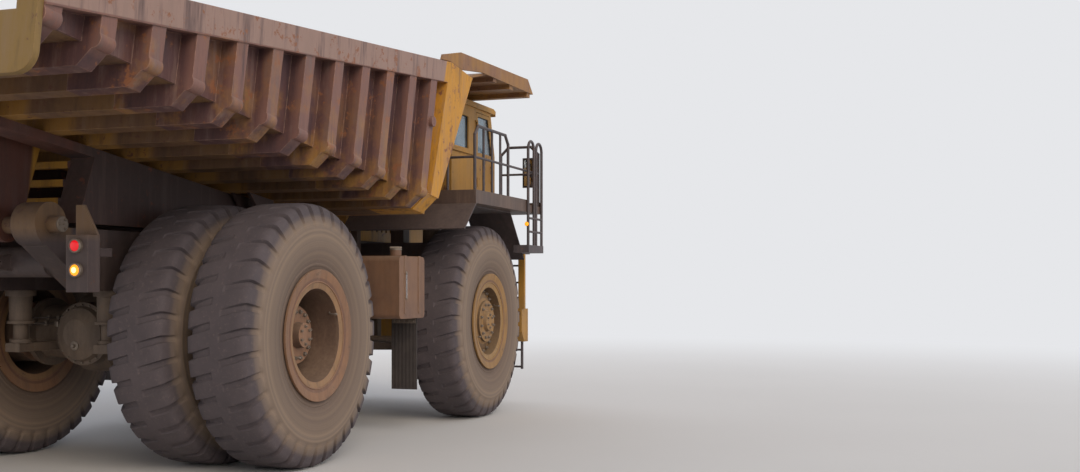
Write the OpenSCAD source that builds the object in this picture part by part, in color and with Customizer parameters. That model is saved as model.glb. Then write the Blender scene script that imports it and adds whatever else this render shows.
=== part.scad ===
// Two-axle rigid mining dump truck, millimetres.
// +X points forward, +Y to the driver's left, +Z up; the ground is z = 0 and x = 0 is mid-length.
// Every module works from the rear axle: x = 0 there is the axle's centreline.

/* [Overall] */
// Distance from the rear axle to the front axle
wheelbase = 4950; // [4850:10:5150]
// Bumper's front face ahead of the front axle
front_overhang = 2190; // [2150:10:2300]
// Tail of the dump body behind the rear axle
rear_overhang = 4150; // [3950:10:4300]

/* [Tyres and wheels] */
// Outside diameter of every tyre
tyre_d = 2690; // [2600:10:2720]
// Section width of every tyre
tyre_w = 740; // [700:5:760]
// Bead seat diameter of the rims
rim_d = 1245; // [1200:5:1290]
// Distance between the centre planes of the front tyres
front_track = 4325; // [4280:5:4400]
// Distance between the centre planes of the two inner rear tyres
inner_track = 2600; // [2580:5:2660]
// Distance between the centre planes of twin tyres
twin_pitch = 900; // [860:5:930]
// Opening in the face of each rim
rim_open_d = 950; // [900:5:980]
// Radius of the fixed spindles that the wheels turn on
spindle_r = 130; // [110:5:140]

/* [Frame] */
// Centre plane of each frame rail, from the truck's centreline
rail_y = 550; // [530:5:560]
// Width of each frame rail
rail_w = 280; // [240:5:300]
// Top face of the rails under the dump body, above the wheels' centres
rail_lift = 1055; // [1035:5:1075]
// Depth of the rails under the dump body
rail_h = 600; // [540:10:640]
// Top face of the lower front part of the rails, above the wheels' centres
nose_lift = 555; // [515:5:595]
// Depth of the lower front part of the rails
nose_h = 520; // [480:5:560]

/* [Dump body] */
// Slope of the load floor, down towards the front
floor_slope = 6.8; // [5:0.1:7.5]
// Underside of the cross beams at the rear axle, above the tops of the tyres
body_lift = 370; // [350:5:410]
// Outer face of each side plate at the floor
plate_y = 2500; // [2460:5:2520]
// Thickness of the floor, side and front plates
plate_t = 22; // [16:1:30]
// Outward lean of the side plates
flare = 3; // [1:0.5:4]
// Depth of the cross beams and of the sloped rib feet
beam_h = 190; // [170:5:210]
// Depth of the side ribs
rib_d = 160; // [120:5:180]
// Width of each rib and cross beam
rib_w = 170; // [120:5:200]
// Number of ribs on each side
rib_n = 12; // [10:1:12]
// Distance between ribs
rib_pitch = 573; // [560:1:574]
// Foremost rib, ahead of the rear axle
rib_front = 2300; // [2290:2:2310]
// Height of the side at the front, above the beams' top
side_h_front = 1720; // [1620:10:1740]
// Height of the side at the tail, above the beams' top
side_h_tail = 330; // [300:5:400]
// Depth of the top rail of the sides
top_rail_h = 260; // [220:5:270]
// Foot of the front wall, ahead of the rear axle
wall_x = 2720; // [2680:5:2760]
// Forward lean of the front wall
wall_lean = 22.4; // [18:0.1:24]
// Tip of the canopy, ahead of the rear axle
canopy_x = 6080; // [5900:10:6100]
// Underside of the canopy's level part, above the cab's roof
canopy_gap = 130; // [120:5:190]
// Height of the canopy's side plates at the front
canopy_h = 190; // [160:5:220]
// Underside of the tail beam
tail_drop = 240; // [200:5:260]

/* [Body pivot and hoist] */
// Pivot of the dump body behind the rear axle
pivot_back = 1700; // [1650:5:1720]
// Height of the pivot above the wheels' centres
pivot_lift = 1075; // [1055:5:1095]
// Radius of the pivot pins
pivot_r = 80; // [65:1:90]
// Full raise of the dump body
dump_deg = 48; // [40:1:50]
// Lower hoist pin ahead of the rear axle
hoist_x = 1900; // [1880:5:1920]
// Lower hoist pin, below the wheels' centres
hoist_drop = 345; // [305:5:365]
// Upper hoist pin ahead of the rear axle
hoist_top_x = 1500; // [1480:5:1540]
// Upper hoist pin, below the cross beams' underside at the rear axle
hoist_top_drop = 370; // [360:5:380]
// Centre plane of each hoist
hoist_y = 865; // [860:1:870]
// Outer radius of the hoist barrels
barrel_r = 125; // [118:1:130]
// Outer radius of the hoists' middle stages
stage_r = 102; // [98:1:106]
// Radius of the hoist rods
rod_r = 78; // [70:1:84]

/* [Steering] */
// Kingpin, from the truck's centreline
kingpin_y = 1600; // [1590:5:1610]
// Radius of the kingpins
kingpin_r = 90; // [80:1:100]
// Length of the steering arms
arm_l = 620; // [580:5:640]
// Tie rod, below the wheels' centres
tie_drop = 235; // [230:1:240]

/* [Deck and cab] */
// Walking surface of the decks, above the tops of the tyres
deck_lift = 360; // [350:5:390]
// Thickness of the decks
deck_t = 110; // [90:5:120]
// Outer edge of the decks
deck_y = 2700; // [2690:5:2740]
// Inner edge of the decks, beside the hood
hood_y = 800; // [780:5:820]
// Rear edge of the decks, behind the front axle
deck_back = 1050; // [1000:10:1080]
// Front edge of the decks, ahead of the front axle
deck_front = 1680; // [1660:5:1700]
// Height of the handrails
rail_high = 930; // [900:10:1000]
// Radius of the handrail tube
tube_r = 21; // [17:1:25]
// Rear wall of the cab, behind the front axle
cab_back = 100; // [80:5:120]
// Front wall of the cab, ahead of the front axle
cab_front = 1620; // [1600:5:1650]
// Inner wall of the cab, from the truck's centreline
cab_in = 450; // [430:5:480]
// Outer wall of the cab, from the truck's centreline
cab_out = 1950; // [1930:5:1960]
// Height of the cab, from the deck to the top of its roof
cab_high = 1520; // [1490:5:1530]
// Thickness of the cab's walls
cab_t = 60; // [45:1:70]
// Backward lean of the windscreen over its height
screen_lean = 180; // [120:5:200]
// Width of the cab door
door_w = 710; // [660:5:720]
// Width of the gap round the door
door_gap = 8; // [6:1:12]

/* [Bumper, tanks and power unit] */
// Underside of the bumper, below the wheels' centres
bumper_drop = 385; // [345:5:445]
// Height of the bumper
bumper_h = 520; // [480:10:560]
// Outer end of the bumper, from the truck's centreline
bumper_out = 2300; // [2250:10:2330]
// Rear face of the tanks, ahead of the rear axle
tank_x = 2080; // [2060:5:2120]
// Length of the tanks
tank_l = 720; // [600:10:740]
// Underside of the tanks, above the wheels' centres
tank_lift = 105; // [75:5:155]
// Height of the tanks
tank_h = 750; // [680:10:780]
// Outer face of the tanks, from the truck's centreline
tank_out = 2450; // [2380:10:2480]
// Underside of the engine, below the wheels' centres
engine_drop = 15; // [10:5:45]
// Height of the engine
engine_h = 1390; // [1200:10:1420]
// Length of the engine
engine_l = 1750; // [1600:10:1800]

/* [Hidden] */
$fn = 48;

// Radial clearance of a running pin or shaft, and of a part that only lies against another
fit = 0.08;
seat = 0.3;
// Left under the sloped beams, where flat faces at a slope would else overlap by a hair
weld = 0.05;

rear_x = rear_overhang - (wheelbase + front_overhang + rear_overhang) / 2;
axle_z = tyre_d / 2;
rail_z = axle_z + rail_lift;
nose_z = axle_z + nose_lift;
pivot_z = axle_z + pivot_lift;
hoist_z = axle_z - hoist_drop;
tie_z = axle_z - tie_drop;
bumper_low = axle_z - bumper_drop;
bumper_high = bumper_low + bumper_h;
tank_low = axle_z + tank_lift;
engine_low = axle_z - engine_drop;
body_z = tyre_d + body_lift;
hoist_top_z = body_z - hoist_top_drop;
deck_z = tyre_d + deck_lift;
cab_top = deck_z + cab_high;
canopy_z = cab_top + canopy_gap;
front_x = wheelbase;
nose_x = wheelbase + front_overhang;
rail_in = rail_y - rail_w / 2;
rail_out = rail_y + rail_w / 2;
front_y = front_track / 2;
inner_y = inner_track / 2;
outer_y = inner_y + twin_pitch;
pivot = [-pivot_back, pivot_z];

// Colours as the truck shows them
yellow = "goldenrod";
rust = "sienna";
steel = "dimgray";
dark = "#2b2a2c";

// Points that follow the sloped load floor: [along the floor, above the beams' underside]
function body_pt(x, z) = [x * cos(floor_slope) + z * sin(floor_slope),
    body_z - x * sin(floor_slope) + z * cos(floor_slope)];
tail_x = -(rear_overhang - tail_drop * sin(floor_slope)) / cos(floor_slope);
side_rise = (side_h_front - side_h_tail) / (wall_x - tail_x);
function side_h(x) = side_h_tail + (x - tail_x) * side_rise;
function wall_at(z) = wall_x + z * tan(wall_lean);

module from_rear_axle() translate([rear_x, 0, 0]) children();
module both_sides() {
    children();
    mirror([0, 1, 0]) children();
}
module on_side(s) if (s < 0) mirror([0, 1, 0]) children(); else children();

// A side-view outline (x, z) made y0..y0 + w thick
module side_view(y0, w) translate([0, y0 + w, 0]) rotate([90, 0, 0]) linear_extrude(w) children();
// A cross-section outline (y, z) made x0..x0 + l long
module section(x0, l) translate([x0, 0, 0]) rotate([90, 0, 90]) linear_extrude(l) children();
// A round bar across the truck
module y_bar(x, z, y0, l, r) translate([x, y0, z]) rotate([-90, 0, 0]) cylinder(r = r, h = l);
// A block given by its low corner and its high corner
module block(p, q) translate(p) cube(q - p);
// A round bar between two points, with round ends where they meet others
module tube(p, q, r) {
    v = q - p;
    translate(p) rotate([0, acos(v.z / norm(v)), atan2(v.y, v.x)]) cylinder(r = r, h = norm(v));
}
// A run of tube through points, with a welded knob at each bend
knob = 2;
module rail_run(points, r) {
    for (i = [1 : len(points) - 1]) tube(points[i - 1], points[i], r);
    for (i = [1 : len(points) - 2]) translate(points[i]) sphere(r = r + knob);
}

// Frame rails with the pivot bosses, pins, cross members and hoist brackets
module rail_outline() {
    polygon([[-pivot_back - 60, pivot_z - 205], [-1150, rail_z - rail_h],
        [2700, rail_z - rail_h], [3250, nose_z - nose_h], [nose_x - 340, nose_z - nose_h],
        [nose_x - 340, nose_z], [3700, nose_z], [3050, rail_z], [-pivot_back, rail_z]]);
    translate(pivot) circle(r = 210);
}
module frame() color(dark) from_rear_axle() {
    both_sides() {
        side_view(rail_in, rail_w) rail_outline();
        hoist_bracket();
        strut_tower();
    }
    for (x = [-1350, drag_x, 2500]) y_bar(x, cross_z, -rail_in - 1, 2 * rail_in + 2, cross_r);
    y_bar(-pivot_back, pivot_z, -rail_out - 120, 2 * rail_out + 240, pivot_r);
    side_view(-35, 70) translate([0, cross_z]) difference() {
        polygon([[-1350, 100], [-1720, 30], [-1720, -70], [-1350, -100]]);
        translate([-1650, -20]) circle(r = tow_r);
    }
    block([3500, -rail_in - 1, nose_z - nose_h + 20], [3740, rail_in + 1, nose_z - 40]);
    block([nose_x - 560, -rail_in - 1, nose_z - nose_h + 20], [nose_x - 380, rail_in + 1, nose_z - 40]);
}
cross_z = rail_z - 320;
cross_r = 150;
drag_x = 1700;
// Plate on each rail that carries the hoist's lower pin
module hoist_bracket() {
    side_view(rail_out - 1, 25) polygon([[hoist_x - 260, rail_z - 150], [hoist_x + 260, rail_z - 150],
        [hoist_x + 110, hoist_z - 60], [hoist_x, hoist_z - 110], [hoist_x - 110, hoist_z - 60]]);
    y_bar(hoist_x, hoist_z, rail_out, hoist_y + 75 - rail_out, 45);
}
// Arm on each rail that holds the top of the front strut
tower_low = nose_z + 280;
tower_top = tower_low + 280;
tower_r = 150;
module strut_tower() {
    block([front_x - 140, rail_out - 1, tower_low], [front_x + 140, kingpin_y, tower_top]);
    translate([front_x, kingpin_y, tower_low]) cylinder(r = tower_r, h = tower_top - tower_low);
    block([front_x - 140, rail_in, nose_z - 1], [front_x + 140, rail_out, tower_top]);
}

module bumper() color(yellow) from_rear_axle() {
    back = nose_x - bumper_t;
    difference() {
        block([back, -bumper_out, bumper_low], [nose_x, bumper_out, bumper_high]);
        for (s = [-1, 1], y = lamp_y) translate([nose_x - lamp_t - seat, s * y, lamp_z]) rotate([0, 90, 0])
            cylinder(r = lamp_r + seat, h = lamp_t + 10);
        // Room for the front steps, and the bevelled lower edge behind them
        both_sides() block([nose_x - step_t, step_y - 40, bumper_low - 1],
            [nose_x + 1, step_y + step_w + 40, bumper_high + 1]);
        both_sides() side_view(bumper_out - 260, 261) polygon([[back - 1, bumper_low - 1],
            [back + 120, bumper_low - 1], [back - 1, bumper_low + 160]]);
    }
    both_sides() {
        block([back, bumper_out - 60, bumper_high], [back + 60, bumper_out + 40, landing_z - landing_t]);
        block([nose_x - 339.9, rail_in, nose_z - nose_h], [back, rail_out, bumper_high]);
        side_view(tow_y - 30, 60) difference() {
            polygon([[nose_x - 230, bumper_low + 1], [nose_x - 190, bumper_low - 120],
                [nose_x - 90, bumper_low - 120], [nose_x - 50, bumper_low + 1]]);
            translate([nose_x - 140, bumper_low - 60]) circle(r = tow_r);
        }
    }
}
bumper_t = 290;
tow_y = 900;
tow_r = 35;
lamp_y = [1250, 1600];
lamp_z = bumper_low + 260;
lamp_r = 110;
lamp_t = 60;

module engine() color(dark) from_rear_axle() {
    x0 = front_x - 800;
    block([x0, -rail_in + 20, engine_low], [x0 + engine_l, rail_in - 20, engine_low + engine_h]);
    for (x = [front_x - 600, front_x + 600])
        block([x, -rail_in, engine_low + 170], [x + 150, rail_in, engine_low + 290]);
}

// Radiator housing with its grille, and the cover over the engine
hood_h = 560;
slat_n = 10;
module hood() color(yellow) from_rear_axle() {
    face = nose_x - 300;
    back = front_x - deck_back;
    core = 600;
    frame_w = 80;
    top = deck_z - 10;
    half = hood_y - 10;
    difference() {
        block([back, -half, top - hood_h], [face - core, half, top]);
        block([back + 20, -half + 20, top - hood_h - 1], [face - core - 40, half - 20, top - 20]);
        both_sides() for (i = [0 : 6]) block([front_x - 600 + i * 150, half - 21, top - 420],
            [front_x - 540 + i * 150, half + 1, top - 120]);
    }
    difference() {
        block([face - core, -half, nose_z], [face, half, top]);
        block([face - 500, -half + frame_w, nose_z + frame_w], [face + 1, half - frame_w, top - frame_w]);
    }
    for (i = [1 : slat_n]) section(face - 60, 40)
        translate([-half + frame_w - 1, nose_z + frame_w + i * (top - nose_z - 2 * frame_w) / (slat_n + 1)])
            square([2 * (half - frame_w) + 2, 26]);
    for (y = [-260, 260])
        block([face - 90, y - 15, nose_z + frame_w - 1], [face - 59, y + 15, top - frame_w + 1]);
}

// Decks with a toe plate round their edges, on posts that stand on the rails and strut towers
module decks() color(steel) from_rear_axle() both_sides() {
    under = deck_z - deck_t;
    x0 = front_x - deck_back;
    x1 = front_x + deck_front;
    block([x0, hood_y, under], [x1, deck_y, deck_z]);
    difference() {
        block([x0, cab_out + 60, deck_z - 1], [x1, deck_y, deck_z + toe_h]);
        block([x0 + toe_t, cab_out, deck_z - 2], [x1 - toe_t, deck_y - toe_t, deck_z + toe_h + 1]);
        block([x1 - 640, deck_y - toe_t - 1, deck_z], [x1 - 60, deck_y + 1, deck_z + toe_h + 1]);
    }
    block([front_x - 100, 1000, tower_top], [front_x + 100, 1200, under + 1]);
    block([front_x - 980, hood_y + 20, post_z], [front_x - 880, hood_y + 120, under + 1]);
    block([front_x - 980, rail_out, post_z], [front_x - 880, hood_y + 21, post_z + 100]);
}
toe_h = 70;
toe_t = 12;
post_z = nose_z - 200;

// Splash plate that leans back from the rear edge of each deck, and the bent plate over the front wheel
skirt_out = front_y - tyre_w / 2 + 700;
module fenders() color(dark) from_rear_axle() both_sides() {
    t = 20;
    top = deck_z - deck_t;
    rear = front_x - deck_back;
    low = front_x + 1450;
    side_view(hood_y + 120, deck_y - hood_y - 120) polygon([[rear, top], [rear - 400, top - 350],
        [rear - 386, top - 364], [rear + t, top - 8], [rear + t, top]]);
    side_view(skirt_out - 700, 700) polygon([[rear + 120, top], [front_x + 840, top],
        [front_x + 860, top - 20], [low + t, top - 690], [low, top - 700],
        [front_x + 840, top - t], [rear + 120, top - t]]);
}

// Tube rails round the outer, rear and front edges of the decks
post_n = 4;
bar_r = tube_r - 4;
module handrails() color(steel) from_rear_axle() both_sides() {
    y = deck_y - 40;
    x0 = front_x - deck_back + 60;
    x1 = front_x + deck_front - 40;
    turn = 120;
    high_end = front_x + 290;
    pitch = (high_end - x0) / post_n;
    z = deck_z + rail_high;
    mid = deck_z + 510;
    rail_run([[x0, y, deck_z], [x0, y, z - turn], [x0 + turn, y, z], [high_end - turn, y, z],
        [high_end, y, z - turn], [high_end, y, deck_z]], tube_r);
    rail_run([[x0, cab_out + 320, deck_z], [x0, cab_out + 320, mid], [x0, y, mid], [x1, y, mid]], bar_r);
    for (i = [1 : post_n - 1])
        tube([x0 + i * pitch, y, deck_z], [x0 + i * pitch, y, z], bar_r);
    rail_run([[x1, y, deck_z], [x1, y, z - turn], [x1, y - turn, z], [x1, cab_out + 220, z],
        [x1, cab_out + 220 - turn, z - turn], [x1, cab_out + 220 - turn, deck_z]], tube_r);
    tube([x1, y, mid], [x1, cab_out + 220 - turn, mid], bar_r);
}

// Landing below each front corner: hooped posts climb from it to the deck, and steps hang from it in front
landing_t = 110;
step_y = 1850;
step_w = 380;
step_t = 60;
landing_drop = 600;
landing_z = deck_z - landing_drop;
module ladders() color(steel) from_rear_axle() both_sides() {
    y = deck_y + tube_r + seat;
    end = front_x + deck_front - 40;
    low = landing_z - landing_t;
    block([end - 680, skirt_out + 8, low], [end, y + tube_r, landing_z]);
    block([front_x + 1400, bumper_out - 60, low], [end, skirt_out + 9, landing_z]);
    block([end - 1, bumper_out - 60, low], [nose_x - bumper_t + 61, bumper_out + 40, landing_z]);
    block([nose_x - bumper_t + 60, step_y - 20, low], [nose_x - 15, bumper_out + 40, landing_z]);
    for (x = [end - 650, end - 290]) hoop(x, x + 260, y, landing_z - 1, deck_z + rail_high + 20);
    for (i = [1, 2]) tube([end - 650, y, landing_z + i * landing_drop / 3],
        [end - 30, y, landing_z + i * landing_drop / 3], bar_r);
    for (y = [step_y, step_y + step_w - 30])
        block([nose_x - step_t, y, step_low], [nose_x - 15, y + 30, low + 1]);
    for (i = [0 : 6]) translate([nose_x - 50, step_y + 29, step_low + 20 + i * step_rise])
        cube([30, step_w - 58, 30]);
}
step_low = axle_z - 825;
step_rise = (landing_z - landing_t - step_low) / 6.8;
// An upright loop of tube with a rounded top
module hoop(xa, xb, y, z0, z1) {
    r = (xb - xa) / 2;
    for (x = [xa, xb]) tube([x, y, z0], [x, y, z1 - r], tube_r);
    translate([xa + r, y, z1 - r]) intersection() {
        rotate([90, 0, 0]) rotate_extrude($fn = 48) translate([r, 0]) circle(r = tube_r);
        translate([-2 * r, -tube_r - 1, 0]) cube([4 * r, 2 * tube_r + 2, 2 * r]);
    }
}

// Cab of sheet panels on the right-hand deck, with its windows cut out
cab_x0 = front_x - cab_back;
cab_x1 = front_x + cab_front;
door_x1 = cab_x1 - cab_t - 10;
door_x0 = door_x1 - door_w;
roof_t = 80;
sill = deck_z + 790;
head = cab_top - 130;
step_z = deck_z + 80;
// How far the windscreen has leaned back at a height above the sill
function lean_at(z) = screen_lean * max(0, z - sill) / (cab_top - roof_t - sill);
module cab_side(grow) polygon([[cab_x0 - grow, deck_z - grow], [cab_x1 + grow, deck_z - grow],
    [cab_x1 + grow, sill], [cab_x1 - screen_lean + grow, cab_top - roof_t + grow],
    [cab_x0 - grow, cab_top - roof_t + grow]]);
// Door and window outlines in side view, made smaller by g all round
module door_side(g) polygon([[door_x0 + g, step_z + g], [door_x1 - g, step_z + g], [door_x1 - g, sill],
    [door_x1 - lean_at(head) - g, head - g], [door_x0 + g, head - g]]);
module door_pane() polygon([[door_x0 + 70, sill], [door_x1 - 65, sill],
    [door_x1 - lean_at(head - 60) - 65, head - 60], [door_x0 + 70, head - 60]]);
module cab_shell() color(yellow) from_rear_axle() mirror([0, 1, 0]) {
    difference() {
        side_view(cab_in, cab_out - cab_in) cab_side(0);
        // Inside, open at the top where the roof lies on the walls
        side_view(cab_in + cab_t, cab_out - cab_in - 2 * cab_t) {
            cab_side(-cab_t);
            translate([cab_x0 + cab_t, cab_top - 300]) square([cab_x1 - cab_x0 - screen_lean - 2 * cab_t, 300]);
        }
        block([cab_x1 - 350, cab_in + 110, sill - 200], [cab_x1 + 1, cab_out - 110, head]);
        block([cab_x0 - 1, cab_in + 200, sill], [cab_x0 + 2 * cab_t, cab_out - 200, head]);
        block([cab_x0 + 150, cab_in - 1, sill], [cab_x1 - 300, cab_in + 2 * cab_t, head]);
        block([cab_x0 + 110, cab_out - 2 * cab_t, sill + 20], [door_x0 - 300, cab_out + 1, head - 110]);
        side_view(cab_out - 2 * cab_t, 2 * cab_t + 1) door_side(0);
    }
    door_pins();
    block([cab_x0, cab_out - 1, sill - 60], [door_x0 - 60, cab_out + 25, sill - 20]);
}
// Hinges on the rear edge of the door: pins on the cab, barrels on the door
hinge_r = 16;
hinge_pin_r = 8;
hinge_l = 80;
hinge_x = door_x0 + door_gap / 2;
hinge_y = cab_out + hinge_r;
hinge_at = [step_z + 220, step_z + 1070];
module door_pins() for (z = hinge_at) {
    translate([hinge_x, hinge_y, z - 30]) cylinder(r = hinge_pin_r, h = hinge_l + 60);
    for (e = [z - 31, z + hinge_l + 1]) {
        translate([hinge_x, hinge_y, e]) cylinder(r = hinge_r, h = 30);
        block([door_x0 - 40, cab_out - 1, e], [hinge_x, hinge_y, e + 30]);
    }
}
module door_barrels() for (z = hinge_at) difference() {
    union() {
        translate([hinge_x, hinge_y, z]) cylinder(r = hinge_r, h = hinge_l);
        block([hinge_x, cab_out - 1, z], [door_x0 + 70, cab_out + 10, z + hinge_l]);
    }
    translate([hinge_x, hinge_y, z - 1]) cylinder(r = hinge_pin_r + fit, h = hinge_l + 2);
}
module cab_roof() color(yellow) from_rear_axle() mirror([0, 1, 0]) side_view(cab_in - 30, cab_out - cab_in + 60)
    polygon([[cab_x0 - 40, cab_top - roof_t], [cab_x1 - screen_lean + 110, cab_top - roof_t],
        [cab_x1 - screen_lean + 140, cab_top - roof_t - 30], [cab_x1 - screen_lean + 150, cab_top - 30],
        [cab_x1 - screen_lean + 60, cab_top], [cab_x0 - 40, cab_top]]);

pane_t = 8;
module cab_glass() color("lightsteelblue", 0.4) from_rear_axle() mirror([0, 1, 0]) {
    mid = cab_t / 2;
    front = cab_x1 - mid;
    side_view(cab_in + 110, cab_out - cab_in - 220) polygon([[front - pane_t, sill - 200], [front, sill - 200],
        [front, sill], [front - lean_at(head), head], [front - pane_t - lean_at(head), head],
        [front - pane_t, sill]]);
    block([cab_x0 + mid, cab_in + 200, sill], [cab_x0 + mid + pane_t, cab_out - 200, head]);
    block([cab_x0 + 150, cab_in + mid, sill], [cab_x1 - 300, cab_in + mid + pane_t, head]);
    block([cab_x0 + 110, cab_out - mid - pane_t, sill + 20], [door_x0 - 300, cab_out - mid, head - 110]);
}
// Seat with its pedestal, dash, steering column and wheel
module cab_interior() color(dark) from_rear_axle() mirror([0, 1, 0]) {
    floor_z = deck_z + cab_t;
    seat_y = 1200;
    translate([cab_x0 + 620, seat_y, floor_z]) cylinder(r = 150, h = 301);
    side_view(seat_y - 250, 500) polygon([[cab_x0 + 340, floor_z + 300], [cab_x0 + 880, floor_z + 300],
        [cab_x0 + 890, floor_z + 430], [cab_x0 + 470, floor_z + 450], [cab_x0 + 400, floor_z + 1090],
        [cab_x0 + 290, floor_z + 1090]]);
    side_view(cab_in + cab_t, cab_out - cab_in - 2 * cab_t - 30) polygon([[cab_x1 - 380, floor_z],
        [cab_x1 - cab_t, floor_z], [cab_x1 - cab_t, floor_z + 560], [cab_x1 - 330, floor_z + 700],
        [cab_x1 - 430, floor_z + 620]]);
    tube([cab_x1 - 420, seat_y, floor_z + 600], [cab_x1 - 560, seat_y, floor_z + 740], 30);
    translate([cab_x1 - 560, seat_y, floor_z + 740]) rotate([0, -45, 0]) {
        rotate_extrude($fn = 48) translate([210, 0]) circle(r = 18);
        for (a = [0, 120, 240]) rotate([0, 0, a]) translate([0, -18, -10]) cube([205, 36, 20]);
    }
}
module cab_door() color(yellow) from_rear_axle() mirror([0, 1, 0]) {
    difference() {
        side_view(cab_out - 50, 50) door_side(door_gap);
        side_view(cab_out - 51, 52) door_pane();
    }
    door_barrels();
    tube([door_x1 - 110, cab_out + 40, sill - 420], [door_x1 - 110, cab_out + 40, sill - 160], 12);
    for (z = [sill - 410, sill - 170]) y_bar(door_x1 - 110, z, cab_out - 1, 41, 12);
}
module door_glass() color("lightsteelblue", 0.4) from_rear_axle() mirror([0, 1, 0])
    side_view(cab_out - 30, pane_t) door_pane();

// Electrical cabinet and the two air cleaners on the left-hand deck
module cabinets() color(yellow) from_rear_axle() {
    block([front_x - 300, 1100, deck_z], [front_x + 500, 1900, deck_z + 850]);
    for (y = [1250, 1750]) air_cleaner([front_x + 700, y, deck_z + 330]);
}
module air_cleaner(p) {
    translate(p) rotate([0, 90, 0]) rotate_extrude() polygon([[0, 0], [150, 0], [190, 30], [190, 110],
        [230, 120], [230, 560], [210, 600], [140, 620], [0, 620]]);
    block([p.x + 150, p.y - 180, deck_z], [p.x + 500, p.y + 180, p.z - 100]);
}

// Fuel tank on the right and hydraulic tank on the left, with rounded edges, straps and a filler neck
tank_end = tank_x + tank_l;
tank_r = 60;
module tank_outline() {
    translate([tank_x, tank_low + tank_r]) square([tank_l, tank_h - 2 * tank_r]);
    translate([tank_x + tank_r, tank_low]) square([tank_l - 2 * tank_r, tank_h]);
    for (x = [tank_x + tank_r, tank_end - tank_r], z = [tank_low + tank_r, tank_low + tank_h - tank_r])
        translate([x, z]) circle(r = tank_r);
}
module tanks() color(yellow) from_rear_axle() both_sides() {
    inner = 1060;
    side_view(inner, tank_out - inner) tank_outline();
    for (x = [tank_x + 120, tank_end - 220])
        block([x, rail_out, tank_low + 500], [x + 100, inner + 1, tank_low + 700]);
    for (x = [tank_x + 130, tank_end - 190]) {
        block([x, inner + 100, tank_low + tank_h - 1], [x + 60, tank_out + 8, tank_low + tank_h + 8]);
        block([x, tank_out - 1, tank_low + 60], [x + 60, tank_out + 8, tank_low + tank_h + 8]);
    }
    translate([tank_x + tank_l / 2, tank_out - 220, tank_low + tank_h - 1]) cylinder(r = 70, h = 90);
}
module mud_flaps() color(dark) from_rear_axle() both_sides()
    block([tank_end - 60, tank_out - 420, axle_z - 785], [tank_end - 40, tank_out - 80, tank_low]);

// Half of the axle housing's cross-section: [distance from the centreline, radius]
axle_half = [[0, 420], [210, 420], [330, 330], [560, 290], [740, 290], [750, 370], [800, 370],
    [810, 290], [920, 290]];
// Axle housing, its tubes and spindles, and the drag frame to the chassis
module rear_axle() color(dark) from_rear_axle() {
    last = axle_half[len(axle_half) - 1];
    both_sides() {
        translate([0, 0, axle_z]) rotate([-90, 0, 0]) rotate_extrude($fn = 96)
            polygon(concat([[0, 0]], [for (p = axle_half) [p.y, p.x]], [[0, last.x]]));
        y_bar(0, axle_z, 0, outer_y + 30, spindle_r);
        block([-840, rail_y - 90, axle_z - 180], [-200, rail_y + 90, axle_z - 90]);
    }
    // Cover of the differential, facing back
    translate([0, 0, axle_z]) rotate([0, -90, 0]) rotate_extrude($fn = 96)
        polygon([[0, 300], [330, 300], [330, 440], [290, 450], [270, 500], [150, 560], [0, 570]]);
    hull() {
        y_bar(250, axle_z - 60, -420, 840, 90);
        y_bar(drag_x, axle_z + 60, -120, 240, 90);
    }
    block([drag_x - 60, -60, axle_z + 60], [drag_x + 60, 60, cross_z - cross_r - seat]);
}
// Rear struts from the axle up to the rails: [height of the foot, radius, length] of each step
module rear_suspension() color(steel) from_rear_axle() both_sides() {
    top = rail_z - rail_h;
    steps = [[axle_z - 90, 75, 300], [axle_z - 90, 110, 40], [axle_z + 110, 115, top - axle_z - 110],
        [axle_z + 110, 135, 30], [top - 60, 150, 60]];
    for (s = steps) translate([-720, rail_y, s[0]]) cylinder(r = s[1], h = s[2]);
}
// Struts, kingpins and lower arms that carry the front knuckles
module front_suspension() color(steel) from_rear_axle() both_sides() {
    arm_z = axle_z - 415;
    sleeve_z = axle_z + 385;
    translate([front_x, kingpin_y, arm_z]) cylinder(r = kingpin_r, h = 1000);
    translate([front_x, kingpin_y, sleeve_z]) cylinder(r = 145, h = tower_low - sleeve_z);
    translate([front_x, kingpin_y, tower_top]) cylinder(r = 130, h = 190);
    translate([0, 0, arm_z]) linear_extrude(100) {
        polygon([[front_x - 520, rail_in], [front_x + 520, rail_in], [front_x + 90, kingpin_y + 60],
            [front_x - 90, kingpin_y + 60]]);
        translate([front_x, kingpin_y]) circle(r = 130);
    }
    for (x = [front_x - 300, front_x + 180])
        block([x, rail_in + 40, arm_z + 99], [x + 120, rail_out - 40, nose_z - nose_h]);
}

// Tail-lamp housings: two lenses stand proud of the rear face, one above the other
tail_y = 1010;
lens_r = 52;
module tail_lamps() color(yellow) from_rear_axle() both_sides() {
    x = -pivot_back - 180;
    low = pivot_z - 630;
    top = pivot_z - 110;
    arm = pivot_z - 300;
    block([x, tail_y, low], [x + 160, tail_y + 240, top]);
    for (z = [low + 200, low + 420])
        translate([x - 25, tail_y + 120, z]) rotate([0, 90, 0]) cylinder(r = lens_r, h = 30);
    block([-pivot_back + 220, rail_out, arm], [-pivot_back + 300, tail_y + 120, arm + 80]);
    block([x + 159, tail_y + 40, arm], [-pivot_back + 221, tail_y + 120, arm + 80]);
    section(x + 130, 30)
        polygon([[tail_y, top - 1], [tail_y + 240, top - 1], [tail_y + 90, top + 280], [tail_y, top + 280]]);
}
module headlamps() color("white") from_rear_axle() both_sides()
    for (y = lamp_y) translate([nose_x - lamp_t, y, lamp_z]) rotate([0, 90, 0]) cylinder(r = lamp_r, h = lamp_t);
module mirrors() color(dark) from_rear_axle() both_sides() {
    x = front_x + deck_front - 40 + bar_r + seat;
    y = deck_y - 190;
    z = deck_z + 510;
    block([x, y - 20, z - 40], [x + 50, y + 20, z + 40]);
    block([x + 49, y - 130, z - 200], [x + 79, y + 130, z + 260]);
}

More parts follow.
